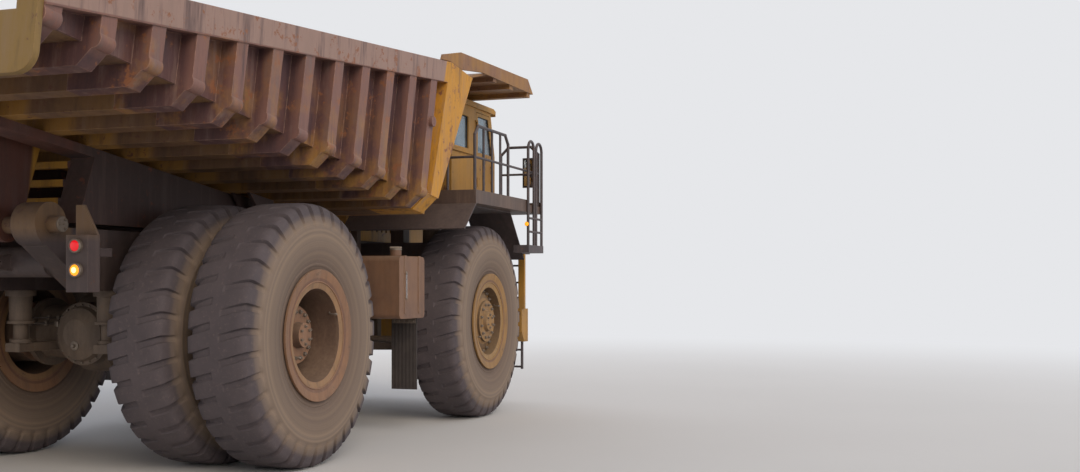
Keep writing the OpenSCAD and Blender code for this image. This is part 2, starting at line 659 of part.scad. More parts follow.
// Frame of the sloped dump body, and the plane of its leaning left side plate
module body_frame() translate([0, 0, body_z]) rotate([0, floor_slope, 0]) children();
module side_plane() translate([0, plate_y, beam_h]) rotate([-flare, 0, 0]) children();
rib_x = [for (i = [0 : rib_n - 1]) rib_front - i * rib_pitch];
foot_y = 1900;
corner_w = 300;
top_lug_z = side_h_front / 2;
module body_side() {
    start = tail_x + tail_t;
    body_frame() {
        side_plane() {
            side_view(-plate_t, plate_t) polygon([[start, -6], [wall_x + 80, -6],
                [wall_at(side_h_front) + 80, side_h_front], [wall_x, side_h(wall_x)], [start, side_h_tail]]);
            side_view(-plate_t, plate_t + rib_d + 12) polygon([[start, side_h_tail - top_rail_h],
                [wall_x, side_h_front - top_rail_h], [wall_x, side_h_front], [start, side_h_tail]]);
            side_view(0, rib_d + 12) polygon([[wall_x - 220, 0], [wall_x, 0],
                [wall_at(side_h_front), side_h_front], [wall_x - 20, side_h_front]]);
            translate([rib_front, rib_d - 1, top_lug_z]) rotate([-90, 0, 0]) cylinder(r = 62, h = 50);
        }
        for (x = rib_x) section(x - rib_w / 2, rib_w) wrap_rib(max(30, side_h(x) - top_rail_h + 4));
        section(wall_x - corner_w, corner_w) wrap_rib(3);
    }
}
// A rib that comes out from under the floor, turns up round a knee at a sloped foot and leans with the side
knee_r = 70;
module wrap_rib(h) {
    polygon([[foot_y + weld, 0], [plate_y + rib_d - beam_h, 0], [plate_y + rib_d, beam_h],
        [plate_y + rib_d + h * tan(flare), beam_h + h], [plate_y - 5 + h * tan(flare), beam_h + h],
        [plate_y - 5, beam_h - weld], [foot_y + weld, beam_h - weld]]);
    if (h > 60) translate([plate_y + rib_d - knee_r + 14, beam_h + 6]) circle(r = knee_r);
}
module body_side_right() color(rust) from_rear_axle() mirror([0, 1, 0]) body_side();
module body_side_left() color(rust) from_rear_axle() body_side();

module body_floor() color(rust) from_rear_axle() body_frame() {
    inner = plate_y - plate_t - seat;
    block([tail_x + tail_t - 1, -inner, beam_h], [wall_x, inner, beam_h + plate_t]);
    for (x = rib_x) block([x - rib_w / 2, -foot_y, 0], [x + rib_w / 2, foot_y, beam_h]);
    block([wall_x - corner_w, -foot_y, 0], [wall_x, foot_y, beam_h]);
    section(tail_x, tail_t - seat) tail_plate();
}
// Plate across the whole tail, with rounded lower corners, ears that close the ends of the sides, and a lip
tail_t = 60;
module tail_plate() {
    half = plate_y + rib_d - 4;
    r = 160;
    difference() {
        union() {
            translate([-half, -tail_drop + r]) square([2 * half, beam_h + tail_drop - r + side_h_tail - 30]);
            translate([-half + r, -tail_drop]) square([2 * (half - r), r + 1]);
            for (s = [-1, 1]) translate([s * (half - r), -tail_drop + r]) circle(r = r);
        }
        translate([-plate_y + plate_t, beam_h + plate_t]) square([2 * (plate_y - plate_t), 2000]);
    }
}
// Everything between the inner faces of the two leaning side plates
function inner_face(h) = plate_y - plate_t / cos(flare) + h * tan(flare);
module between_sides() section(tail_x, wall_x - tail_x + 2000) polygon([[-inner_face(-beam_h), 0],
    [inner_face(-beam_h), 0], [inner_face(2500), beam_h + 2500], [-inner_face(2500), beam_h + 2500]]);
module body_front() color(rust) from_rear_axle() body_frame() intersection() {
    between_sides();
    side_view(-3000, 6000) {
        polygon([[wall_x, 0], [wall_x + 60, 0], [wall_x + 60, beam_h],
            [wall_at(side_h_front) + 25, beam_h + side_h_front], [wall_at(side_h_front), beam_h + side_h_front],
            [wall_x, beam_h]]);
        for (h = [0.18, 0.48, 0.78] * side_h_front) polygon([[wall_at(h) + 10, beam_h + h],
            [wall_at(h) + 160, beam_h + h], [wall_at(h + 150) + 160, beam_h + h + 150],
            [wall_at(h + 150) + 10, beam_h + h + 150]]);
    }
}
// Roof plate ahead of the front wall, with its cross beams, side plates and front lip
module body_canopy() color(yellow) from_rear_axle() {
    // The wall's top edge carries the plate, and the side plates stand on the tops of the rails
    root = body_pt(wall_at(side_h_front), beam_h + side_h_front + weld);
    root_front = body_pt(wall_at(side_h_front) + 25, beam_h + side_h_front + weld);
    half = plate_y + side_h_front * sin(flare) + rib_d;
    rail_end = body_pt(wall_x - 260, beam_h + side_h(wall_x - 260));
    post = body_pt(wall_x, beam_h + side_h_front);
    bend = root.x + 650;
    side_view(-half + 29, 2 * half - 58) polygon([root, root_front, [bend, canopy_z],
        [canopy_x, canopy_z], [canopy_x, canopy_z + plate_t], [bend - 10, canopy_z + plate_t], root + [-10, 25]]);
    both_sides() side_view(half - 30, 30) polygon([rail_end, post, body_pt(wall_x + 330, beam_h + side_h_front),
        [post.x + 330, canopy_z - 110], [bend - 260, canopy_z - 20],
        [canopy_x, canopy_z], [canopy_x - 230, canopy_z + canopy_h],
        [post.x + 340, canopy_z + canopy_h - 80], rail_end + [40, 70]]);
    side_view(-half + 29, 2 * half - 58) polygon([[canopy_x - 60, canopy_z + plate_t - 1],
        [canopy_x - 20, canopy_z + plate_t - 1], [canopy_x - 225, canopy_z + canopy_h],
        [canopy_x - 245, canopy_z + canopy_h]]);
    for (x = [bend + 200, bend + 850, canopy_x - 200])
        side_view(-half + 29, 2 * half - 58) translate([x, canopy_z - 60]) square([130, 61]);
}
// Long beams under the floor, the pivot lugs and the hoists' upper ears
ear_y = 110;
module body_stringers() color(rust) from_rear_axle() {
    low = rail_z + 50;
    front = body_pt(wall_x - 100, -weld);
    back = body_pt(-1080, -weld);
    foot = [-1340, low];
    both_sides() {
        side_view(rail_in, rail_w) {
            polygon([back, foot, [front.x - 80, low], front]);
            polygon([body_pt(tail_x + 700, -weld), body_pt(tail_x + 760, -90), body_pt(-1000, -90),
                body_pt(-1000, -weld)]);
        }
        side_view(ear_y, 80) difference() {
            union() {
                polygon([body_pt(-pivot_back - 220, -weld), [-pivot_back - 160, pivot_z],
                    [-pivot_back + 160, pivot_z], body_pt(-pivot_back + 420, -weld)]);
                translate(pivot) circle(r = 160);
            }
            translate(pivot) circle(r = pivot_r + fit);
        }
        // Cross bars up the open rear ends of the beams
        for (i = [1 : 3]) let (p = foot + i / 4 * (back - foot))
            translate([p.x, -1, p.y]) cube([90, rail_in + 2, 70]);
        for (y = [hoist_y - 130, hoist_y + 90]) side_view(y, 40) {
            polygon([body_pt(hoist_top_x - 330, -weld), [hoist_top_x - 100, hoist_top_z],
                [hoist_top_x + 100, hoist_top_z], body_pt(hoist_top_x + 200, -weld)]);
            translate([hoist_top_x, hoist_top_z]) circle(r = 100);
        }
    }
}

// Two-stage hoists: barrel, middle stage and rod share one leaning axis
hoist_v = [hoist_top_x - hoist_x, hoist_top_z - hoist_z];
hoist_l = norm(hoist_v);
module hoist_axis(s) from_rear_axle() on_side(s) translate([hoist_x, hoist_y, hoist_z])
    rotate([0, 90 - atan2(hoist_v.y, hoist_v.x), 0]) children();
module bored_rod(z0, z1, r, bore) difference() {
    translate([0, 0, z0]) cylinder(r = r, h = z1 - z0);
    translate([0, 0, z0 + 60]) cylinder(r = bore, h = z1);
}
module eye(z, r, bore, w) difference() {
    translate([0, -w / 2, z]) rotate([-90, 0, 0]) cylinder(r = r, h = w);
    translate([0, -w, z]) rotate([-90, 0, 0]) cylinder(r = bore, h = 2 * w);
}
module hoist_barrel(s) color(yellow) hoist_axis(s) {
    eye(0, 85, 45 + fit, 110);
    bored_rod(80, hoist_l - 190, barrel_r, stage_r + fit);
}
module hoist_stage(s) color(steel) hoist_axis(s) bored_rod(150, hoist_l - 160, stage_r, rod_r + fit);
module hoist_rod(s) color("silver") hoist_axis(s) {
    translate([0, 0, 220]) cylinder(r = rod_r, h = hoist_l - 300);
    eye(hoist_l, 95, 45, 150);
}
module hoist_barrel_right() hoist_barrel(-1);
module hoist_stage_right() hoist_stage(-1);
module hoist_rod_right() hoist_rod(-1);
module hoist_barrel_left() hoist_barrel(1);
module hoist_stage_left() hoist_stage(1);
module hoist_rod_left() hoist_rod(1);

// Knuckle that turns on the kingpin and carries the front wheel's spindle
module knuckle(s) color(steel) from_rear_axle() on_side(s) difference() {
    union() {
        translate([front_x, kingpin_y, axle_z - 305]) cylinder(r = 165, h = 680);
        y_bar(front_x, axle_z, kingpin_y, front_y - kingpin_y + 30, spindle_r);
        y_bar(front_x, axle_z, front_y - 360, 150, 380);
        block([front_x - arm_l, kingpin_y - 55, tie_z + 45], [front_x, kingpin_y + 55, tie_z + 125]);
        translate([front_x - arm_l, kingpin_y, tie_z + 45]) cylinder(r = 80, h = 80);
        translate([front_x - arm_l, kingpin_y, tie_z - 50]) cylinder(r = tie_pin_r, h = 96);
    }
    translate([front_x, kingpin_y, 0]) cylinder(r = kingpin_r + fit, h = 3000);
}
tie_pin_r = 35;
module knuckle_right() knuckle(-1);
module knuckle_left() knuckle(1);
module tie_rod() color(steel) from_rear_axle() {
    y = kingpin_y;
    difference() {
        union() {
            tube([front_x - arm_l, -y, tie_z], [front_x - arm_l, y, tie_z], 36);
            both_sides() translate([front_x - arm_l, y, tie_z - 40]) cylinder(r = 70, h = 80);
        }
        translate([front_x - arm_l, -y, tie_z - 60]) cylinder(r = tie_pin_r + fit, h = 120);
        translate([front_x - arm_l, y, tie_z - 60]) cylinder(r = tie_pin_r + 5.2, h = 120);
    }
}

// Half of a wheel's cross-section: [radius, distance from the centre plane]
rim_r = rim_d / 2;
half_w = tyre_w / 2;
bead_w = half_w - 55;
tyre_r = tyre_d / 2;
tyre_half = [[rim_r + seat, 0], [rim_r + seat, bead_w], [rim_r + 75, bead_w + 8],
    [rim_r + 170, half_w - 22], [rim_r + 300, half_w], [rim_r + 430, half_w - 3], [tyre_r - 190, half_w - 18],
    [tyre_r - 110, half_w - 36], [tyre_r - 45, half_w - 60], [tyre_r - 12, half_w - 105],
    [tyre_r, half_w - 170], [tyre_r, 0]];
function flipped(p) = [for (i = [len(p) - 1 : -1 : 0]) [p[i].x, -p[i].y]];
module tyre() color(dark) rotate([-90, 0, 0]) rotate_extrude($fn = 96) polygon(concat(tyre_half, flipped(tyre_half)));
module rim_ring() rotate([-90, 0, 0]) rotate_extrude($fn = 96) {
    w = bead_w + 38;
    polygon([[rim_open_d / 2, -w + 40], [rim_r, -w + 8], [rim_r + 48, -w], [rim_r + 48, -w + 24],
        [rim_r, -w + 36], [rim_r, w - 36], [rim_r + 48, w - 24], [rim_r + 48, w], [rim_r, w - 8],
        [rim_open_d / 2, w - 40]]);
}
module wheel_at(x, y, s) from_rear_axle() on_side(s) translate([x, y, axle_z]) children();
module hub_turn(points) rotate([-90, 0, 0]) rotate_extrude($fn = 96) polygon(points);
module front_rim(s) color(yellow) wheel_at(front_x, front_y, s) {
    rim_ring();
    disc = rim_open_d / 2 + 10;
    hub_turn([[spindle_r + fit, -200], [260, -200], [300, 60], [disc, 120], [disc, 160], [290, 250],
        [290, 285], [150, 285], [130, 330], [0, 330], [0, 40], [spindle_r + fit, 40]]);
}
module rear_rims(s) color(yellow) wheel_at(0, inner_y, s) {
    rim_ring();
    translate([0, twin_pitch, 0]) rim_ring();
    mid = twin_pitch / 2;
    disc = rim_open_d / 2 + 10;
    hub_turn([[spindle_r + fit, -half_w + 30], [330, -half_w + 30], [360, mid - 60], [disc, mid - 60],
        [disc, mid + 60], [360, mid + 60], [310, twin_pitch + 60], [290, twin_pitch + 90],
        [135, twin_pitch + 90], [125, twin_pitch + 180], [0, twin_pitch + 180], [0, twin_pitch + 40],
        [spindle_r + fit, twin_pitch + 40]]);
    translate([0, bead_w, 0]) hub_turn([[rim_open_d / 2, 0], [rim_r - 20, 0], [rim_r - 20, twin_pitch - 2 * bead_w],
        [rim_open_d / 2, twin_pitch - 2 * bead_w]]);
}
module rear_tyres(s) {
    wheel_at(0, inner_y, s) tyre();
    wheel_at(0, outer_y, s) tyre();
}
module front_tyre_right() wheel_at(front_x, front_y, -1) tyre();
module front_rim_right() front_rim(-1);
module front_tyre_left() wheel_at(front_x, front_y, 1) tyre();
module front_rim_left() front_rim(1);
module rear_tyres_right() rear_tyres(-1);
module rear_rims_right() rear_rims(-1);
module rear_tyres_left() rear_tyres(1);
module rear_rims_left() rear_rims(1);

frame();
bumper();
engine();
hood();
decks();
fenders();
handrails();
ladders();
cab_shell();
cab_roof();
cab_glass();
cab_interior();
cab_door();
door_glass();
cabinets();
tanks();
mud_flaps();
rear_axle();
rear_suspension();
front_suspension();
tail_lamps();
headlamps();
mirrors();
body_floor();
body_side_right();
body_side_left();
body_front();
body_canopy();
body_stringers();
hoist_barrel_right();
hoist_stage_right();
hoist_rod_right();
hoist_barrel_left();
hoist_stage_left();
hoist_rod_left();
knuckle_right();
knuckle_left();
tie_rod();
front_tyre_right();
front_rim_right();
front_tyre_left();
front_rim_left();
rear_tyres_right();
rear_rims_right();
rear_tyres_left();
rear_rims_left();
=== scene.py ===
import bpy
import bmesh
import math
import random
from functools import partial
from mathutils import Vector, Matrix


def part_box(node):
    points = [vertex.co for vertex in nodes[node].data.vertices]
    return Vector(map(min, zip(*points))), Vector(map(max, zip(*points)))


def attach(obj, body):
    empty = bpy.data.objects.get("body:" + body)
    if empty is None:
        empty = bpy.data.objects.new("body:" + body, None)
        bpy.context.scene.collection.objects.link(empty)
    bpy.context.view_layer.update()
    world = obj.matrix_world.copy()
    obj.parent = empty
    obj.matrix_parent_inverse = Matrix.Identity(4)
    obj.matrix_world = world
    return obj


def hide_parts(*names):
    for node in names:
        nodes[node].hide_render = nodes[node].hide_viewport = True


# Rigid mining dump truck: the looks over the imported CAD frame. Metres, +X forward, +Y left, +Z up.
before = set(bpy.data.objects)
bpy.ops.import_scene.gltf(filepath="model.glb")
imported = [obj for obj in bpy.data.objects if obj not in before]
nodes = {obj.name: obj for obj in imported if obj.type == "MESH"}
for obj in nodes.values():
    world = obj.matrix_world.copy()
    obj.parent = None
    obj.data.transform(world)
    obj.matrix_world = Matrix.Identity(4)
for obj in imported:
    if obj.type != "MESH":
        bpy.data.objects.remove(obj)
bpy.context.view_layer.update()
rnd = random.Random(7)
print("frame loaded:", len(nodes), "nodes")


def toLinear(hexText):
    # sRGB hex to the linear values that Blender's sockets take
    out = []
    for i in (1, 3, 5):
        c = int(hexText[i:i + 2], 16) / 255
        out.append(c / 12.92 if c <= 0.04045 else ((c + 0.055) / 1.055) ** 2.4)
    return (*out, 1.0)


def fill(node, values):
    # a list's values go to the sockets in their order, a dictionary's to the fields or sockets it names;
    # a socket as value, or a node's first output in use, is linked in; a text like "#8ea6b4" is a colour
    for key, value in enumerate(values) if isinstance(values, list) else values.items():
        if isinstance(value, bpy.types.Node):
            value = next(output for output in value.outputs if output.enabled)
        if isinstance(value, str) and value.startswith("#"):
            value = toLinear(value)
        if isinstance(value, bpy.types.NodeSocket):
            node.id_data.links.new(value, node.inputs[key])
        elif isinstance(key, str) and hasattr(node, key):
            setattr(node, key, value)
        else:
            node.inputs[key].default_value = value


def addNode(tree, kind, values=None):
    # the one helper that adds shader nodes; kind may name the node's operation too, as in "Math ADD"
    kind, *mode = kind.split()
    node = tree.nodes.new("ShaderNode" + kind)
    if mode:
        setattr(node, "data_type" if kind == "Mix" else "operation", mode[0])
    fill(node, values or {})
    return node


def newMaterial(name):
    # a material, addNode for its own tree, its shader and its texture coordinates
    mat = bpy.data.materials.new(name)
    mat.use_nodes = True
    mat.node_tree.nodes.clear()
    add = partial(addNode, mat.node_tree)
    shader = add("BsdfPrincipled")
    add("OutputMaterial", {"Surface": shader})
    return mat, add, shader, add("TexCoord")


# Camera, where the photographer's stood: low, behind the truck on its right side
view = {
    "place": (-12.175, -8.5, 1.86),
    "turn": 18.6,  # degrees to the left of straight ahead
    "lens": 39.5,
    "shiftUp": 0.045,
}
camData = bpy.data.cameras.new("photoCamera")
camData.lens = view["lens"]
camData.sensor_width = 36
camData.shift_y = view["shiftUp"]
camData.clip_end = 400
cam = bpy.data.objects.new("photoCamera", camData)
cam.location = view["place"]
turn = math.radians(view["turn"])
cam.rotation_euler = Vector((math.cos(turn), math.sin(turn), 0)).to_track_quat("-Z", "Y").to_euler()
bpy.context.scene.collection.objects.link(cam)
bpy.context.scene.camera = cam

studio = {
    "backdrop": "#e6e7ea",
    "floor": ("#d6d4d1", "#dedcd9"),
    "fill": 0.5,  # world light on the object
    "fillTint": "#e9edf6",
    "fade": (8, 30),  # metres from the truck over which the floor turns into the backdrop
    "lamps": [  # direction it comes from, softness in degrees, strength, colour
        ((-0.62, -0.66, 0.52), 40, 1.55, "#fff0de"),
        ((0.25, -0.9, 0.45), 50, 0.35, "#eef2ff"),
        ((0.6, 0.6, 0.75), 60, 0.55, "#eef2ff"),
    ],
}
bpy.context.scene.view_settings.view_transform = "Standard"
world = bpy.data.worlds.new("softStudio")
bpy.context.scene.world = world
world.use_nodes = True
world.node_tree.nodes.clear()
add = partial(addNode, world.node_tree)
seen = add("Background", {"Color": studio["backdrop"], "Strength": 1.0})
lit = add("Background", {"Color": studio["fillTint"], "Strength": studio["fill"]})


def seenDirectly(add):
    # 1 for rays that show the surface to the eye, straight or by gloss or glass
    path = add("LightPath")
    both = add("Math MAXIMUM", [path.outputs["Is Camera Ray"], path.outputs["Is Glossy Ray"]])
    return add("Math MAXIMUM", [both, path.outputs["Is Transmission Ray"]])


mix = add("MixShader", [seenDirectly(add), lit, seen])
add("OutputWorld", {"Surface": mix})
for i, (source, soft, strength, tint) in enumerate(studio["lamps"]):
    lampData = bpy.data.lights.new("softLight%d" % i, "SUN")
    lampData.angle = math.radians(soft)
    lampData.energy = strength
    lampData.color = toLinear(tint)[:3]
    lamp = bpy.data.objects.new("softLight%d" % i, lampData)
    lamp.rotation_euler = Vector(source).to_track_quat("Z", "Y").to_euler()
    bpy.context.scene.collection.objects.link(lamp)

floorMat, add, shader, coord = newMaterial("paleFloor")
grain = add("TexNoise", {"Vector": coord.outputs["Object"], "Scale": 0.25, "Detail": 3.0})
tone = add("Mix RGBA", {0: grain, 6: studio["floor"][0], 7: studio["floor"][1]})
fill(shader, {"Base Color": tone, "Roughness": 0.9})
far = add("VectorMath LENGTH", [coord.outputs["Object"]])
fade = add("MapRange", {
    "interpolation_type": "SMOOTHSTEP", 0: far, 1: studio["fade"][0],
    2: studio["fade"][1]})
glow = add("Emission", {"Color": studio["backdrop"]})
show = add("Math MULTIPLY", [fade, seenDirectly(add)])
blendIn = add("MixShader", [show, shader, glow])
fill(floorMat.node_tree.nodes["Material Output"], {"Surface": blendIn})
bpy.ops.mesh.primitive_plane_add(size=700, location=(0, 0, -0.001))
floor = bpy.context.object
floor.name = "paleFloor"
floor.data.materials.append(floorMat)
print("camera, light and floor ready")


def weathered(name, coats, zonesOf=None, **own):
    # Sprayed or rolled paint on plate that has worked for years: faded patches, streaks washed down,
    # bright wear on the edges, chips to rust, and dust that settles on whatever faces up
    paint, faded, grime, rust, dust, bare = coats.split()
    look = {**usualWear, **own}
    mat, add, shader, coord = newMaterial(name)
    geo = add("NewGeometry")
    place = coord.outputs["Object"]
    stretch = add("Mapping", {"Vector": place, "Scale": (1, 1, 0.08)})
    patch, chip, streak, powder = [
        add("TexNoise", {"Vector": at, "Scale": 1000 / look[size], "Detail": detail, "Roughness": broken})
        for at, size, detail, broken in (
            (place, "patchMm", 6, 0.62), (place, "chipMm", 9, 0.75), (stretch, "streakMm", 5, 0.7),
            (place, "dustMm", 7, 0.7))]
    patchRamp = add("MapRange", [patch, 0.38, 0.62])
    colour = add("Mix RGBA", {0: patchRamp, 6: paint, 7: faded})
    layers = zonesOf(add, coord, patch, streak) if zonesOf else []
    # streaks run down the plate: dark ones of washed grime, pale ones where dust ran
    dark = add("MapRange", [streak, 0.5, 0.7, 0, look["streaks"]])
    pale = add("MapRange", [streak, 0.47, 0.32, 0, look["streaks"] * 0.6])
    # the bevelled normal differs from the face's own only along edges, and there the paint wears through
    bevelled = add("Bevel", {"samples": 4, "Radius": look["edgeMm"] / 1000})
    same = add("VectorMath DOT_PRODUCT", [geo.outputs["True Normal"], bevelled])
    edge = add("MapRange", [same, 0.97, 0.8])
    edgeBreak = add("MapRange", [chip, 0.4, 0.56, 0, look["edgeWear"]])
    worn = add("Math MULTIPLY", [edge, edgeBreak])
    # chips: hard-edged spots where the steel has rusted
    chipZone = add("Math MULTIPLY_ADD", [patch, 0.35, chip])
    chipRamp = add("MapRange", [chipZone, look["chipFrom"], look["chipFrom"] + 0.03])
    # dust lies on faces that look up, broken up by fine noise
    up = add("SeparateXYZ", [coord.outputs["Normal"]])
    lying = add("MapRange", [up.outputs[2], 0.1, 0.9, look["dustAll"], look["dustUp"]])
    cover = add("Math MULTIPLY", {"use_clamp": True, 0: lying, 1: powder})
    layers += [(pale, dust), (dark, grime), (worn, bare), (chipRamp, rust), (cover, dust)]
    for mask, tint in layers:
        colour = add("Mix RGBA", {0: mask, 6: colour, 7: tint})
    rough = add("MapRange", [cover, 0, 1, look["rough"], 0.92])
    # bump: beaten plate in large, paint edge round the chips and grit in small
    beaten = add("Bump", {"Strength": look["dents"], "Distance": 0.03, "Height": patch, "Normal": bevelled})
    normal = add("Bump", {"Strength": 0.35, "Distance": 0.002, "Height": chip, "Normal": beaten})
    if "studMm" in look:
        # rolled anti-slip studs, only where the plate is walked on
        waves = add("VectorMath SCALE", {0: place, 3: 2 * math.pi * 1000 / look["studMm"]})
        wave = add("VectorMath SINE", [waves])
        both = add("SeparateXYZ", [wave])
        cross = add("Math MULTIPLY", [both, both.outputs[1]])
        stud = add("MapRange", [cross, 0.35, 0.7])
        walked = add("MapRange", [up.outputs[2], 0.9, 0.95])
        height = add("Math MULTIPLY", [stud, walked])
        normal = add("Bump", {"Strength": 0.8, "Distance": 0.004, "Height": height, "Normal": normal})
    fill(shader, {"Base Color": colour, "Roughness": rough, "Normal": normal})
    return mat


# The dump body's own lines, for the finishes that change over it: metres along the floor from the rear
# axle (X), off the centreline (Y) and above the side plates' foot (the rest), unless a line says otherwise
bodyLines = {
    "floorSlope": 6.8,  # degrees
    "axleX": -1.495,  # in the truck's frame
    "floorHigh": 3.06,  # of the floor's underside over the rear axle, in the truck's frame
    "beamHigh": 0.19,  # from that underside up to the plates' foot
    "plateY": 2.5, "flare": 3.0,  # the side plate's inner face, and its lean in degrees
    "ribDeep": (0.05, 0.13),  # off that face, where a rib's front, painted lighter as if lit, begins and is full
    "railHigh": 0.26,
    "tailX": -4.151, "frontX": 2.72, "sideLow": 0.33, "sideTall": 1.72,
    "yellowHigh": 0.75,  # the enamel left low on the plates ends here
    "postX": 2.4, "postLean": 0.116,
    "grimeX": (-1.45, -1.2),  # the stringers' deep part, darkened as painted shade under the body
    "tiesX": -1.4, "tiesY": 0.4,  # the bars that tie the stringers
    "betweenY": (1.05, 0.95),  # the stringers' inner sides
    "earsX": -2.9, "earsZ": (2.25, 2.38),  # the frame's tail, in the truck's frame
}
# painted light among these tints: the rib tint lightens the ribs' fronts as if lit, the stringers' dark
# tint and the rim well's tint are painted shade, the tail's olive is yellow paint shown in shade, and the
# golden tints under the body's tail add painted glow of the amber tail lamps
zoneTints = {
    "rib": "#95695a", "lowYellow": "#a57832", "rail": "#9d8175", "post": "#cc8f16",
    "grime": "#3a2c2c", "tiesGoldAndLampLight": "#c48e26", "ears": "#7f5f38",
    "between": "#c08a24", "inside": "#7d6e64", "tail": "#84692f", "rimWellShade": "#46332d",
}


def alongBody(add, coord):
    # the place on the body: ahead of the axle, above the plates' foot, out from the leaning side plate,
    # and off the centreline
    tilt = math.radians(bodyLines["floorSlope"])
    x0, z0 = -bodyLines["axleX"], -bodyLines["floorHigh"]
    place = coord.outputs["Object"]
    level = add("VectorMath DOT_PRODUCT", [place, (math.cos(tilt), 0, -math.sin(tilt))])
    ahead = add("Math ADD", [level, x0 * math.cos(tilt) - z0 * math.sin(tilt)])
    upright = add("VectorMath DOT_PRODUCT", [place, (math.sin(tilt), 0, math.cos(tilt))])
    high = add("Math ADD", [upright, x0 * math.sin(tilt) + z0 * math.cos(tilt) - bodyLines["beamHigh"]])
    axes = add("SeparateXYZ", [place])
    side = add("Math ABSOLUTE", [axes.outputs[1]])
    out = add("Math MULTIPLY_ADD", [high, -math.tan(math.radians(bodyLines["flare"])), side])
    return ahead, high, out, side


def sideZones(add, coord, patch, streak):
    # the ribs' fronts painted a lighter dusty pink brown in streaks as painted light, the plate between
    # them left darker as painted shade, yellow left low down, a tan top rail and a yellow post
    ahead, high, out, _ = alongBody(add, coord)
    tail, plate, post = bodyLines["tailX"], bodyLines["plateY"], bodyLines["postX"]
    rise = (bodyLines["sideTall"] - bodyLines["sideLow"]) / (bodyLines["frontX"] - tail)
    railFoot = bodyLines["sideLow"] - tail * rise - bodyLines["railHigh"]
    overRail = add("Math MULTIPLY_ADD", [ahead, -rise, high])
    rail = add("MapRange", [overRail, railFoot - 0.008, railFoot])
    railMask = add("Math MULTIPLY", [rail, 0.9])
    ribFrom, ribFull = bodyLines["ribDeep"]
    # painted light: the ribs' fronts turn a lighter pink brown in streaks, as if lit, while the plate
    # between keeps its darker paint as painted shade
    ribFace = add("MapRange", [out, plate + ribFrom, plate + ribFull])
    ribEdge = add("MapRange", [streak, 0.33, 0.6, 0, 0.85])
    rib = add("Math MULTIPLY", [ribFace, ribEdge])
    low = add("MapRange", [high, bodyLines["yellowHigh"], 0, 0, 0.85])
    kept = add("MapRange", [ahead, -3.6, post, -0.06, 0.1])
    where = add("Math ADD", [patch, kept])
    left = add("MapRange", [where, 0.48, 0.68])
    yellow = add("Math MULTIPLY", [low, left])
    postLine = add("Math MULTIPLY_ADD", [high, -bodyLines["postLean"], ahead])
    atPost = add("MapRange", [postLine, post - 0.02, post])
    postRub = add("MapRange", [patch, 0.72, 0.55, 0.4, 1.0])
    postMask = add("Math MULTIPLY", [atPost, postRub])
    return [(rib, zoneTints["rib"]), (yellow, zoneTints["lowYellow"]), (railMask, zoneTints["rail"]),
            (postMask, zoneTints["post"])]


def stringerZones(add, coord, patch, streak):
    # the deep front part of each stringer is darkened as painted shade under the body; the bars that tie
    # the pair are golden, partly yellow paint and partly painted glow of the amber tail lamps
    ahead, _, _, side = alongBody(add, coord)
    deepFrom, deepFull = bodyLines["grimeX"]
    tiesX, tiesY = bodyLines["tiesX"], bodyLines["tiesY"]
    # painted shade: the stringers' deep part under the body is darkened
    deep = add("MapRange", [ahead, deepFrom, deepFull, 0, 0.9])
    # golden bars: yellow paint with painted glow of the amber tail lamps
    middle = add("MapRange", [side, tiesY, tiesY - 0.005, 0, 0.9])
    front = add("MapRange", [ahead, tiesX, tiesX + 0.05])
    tiesGoldAndLampLight = add("Math MULTIPLY", [middle, front])
    return [(deep, zoneTints["grime"]), (tiesGoldAndLampLight, zoneTints["tiesGoldAndLampLight"])]


def tailZones(add, coord, patch, streak):
    # the pivot ears and the lamps' brackets, above the tail of the frame, get a dull golden brown: partly
    # their yellow paint, partly a painted highlight of the amber tail lamps' light
    axes = add("SeparateXYZ", [coord.outputs["Object"]])
    earsX, (earsLow, earsHigh) = bodyLines["earsX"], bodyLines["earsZ"]
    # painted highlight: this golden brown is partly yellow paint, partly the amber tail lamps' light
    behind = add("MapRange", [axes, earsX, earsX - 0.05, 0, 0.75])
    over = add("MapRange", [axes.outputs[2], earsLow, earsHigh])
    mask = add("Math MULTIPLY", [behind, over])
    return [(mask, zoneTints["ears"])]


def floorZones(add, coord, patch, streak):
    # tail plate in yellow paint given the olive tone it shows in shade, as painted shade; scoured steel
    # inside the body; between the stringers golden enamel with painted glow of the amber tail lamps
    ahead, high, out, side = alongBody(add, coord)
    tailX, (betweenFrom, betweenFull) = bodyLines["tailX"], bodyLines["betweenY"]
    # painted shade: the tail plate's dusty yellow given its olive tone in shade
    tail = add("MapRange", [ahead, tailX + 0.1, tailX + 0.09, 0, 0.9])
    inside = add("MapRange", [high, 0.005, 0.008, 0, 0.9])
    within = add("Math LESS_THAN", [out, bodyLines["plateY"] - 0.005])
    steel = add("Math MULTIPLY", [inside, within])
    # yellow enamel with painted glow of the amber tail lamps
    between = add("MapRange", [side, betweenFrom, betweenFull, 0, 0.9])
    golden = add("Math MULTIPLY", [between, patch])
    return [(golden, zoneTints["between"]), (steel, zoneTints["inside"]), (tail, zoneTints["tail"])]


# The wear's sizes and strengths that most painted plate here shares. Each finish then gives its colours:
# fresh paint, faded paint, grime, rust, dust, and the edge rubbed bare
usualWear = {"patchMm": 600, "streakMm": 130, "chipMm": 110, "dustMm": 60, "edgeMm": 9, "edgeWear": 0.7,
             "streaks": 0.5, "chipFrom": 0.79, "dustUp": 1.1, "dustAll": 0.28, "rough": 0.55, "dents": 0.12}
# Alkyd enamel, sprayed on the cab and panels: golden yellow, dulled by dust
yellowEnamel = weathered(
    "sprayedYellowEnamel", "#ba8524 #a17632 #4c3727 #5d3a2a #947c5c #c39a58", patchMm=900)
# The same enamel on the canopy, browner where rock and rain have worn it
canopyEnamel = weathered(
    "sprayedCanopyEnamel", "#a07028 #845a3c #4b3228 #5f3b2c #957a62 #bd8f55", patchMm=700, dents=0.2)
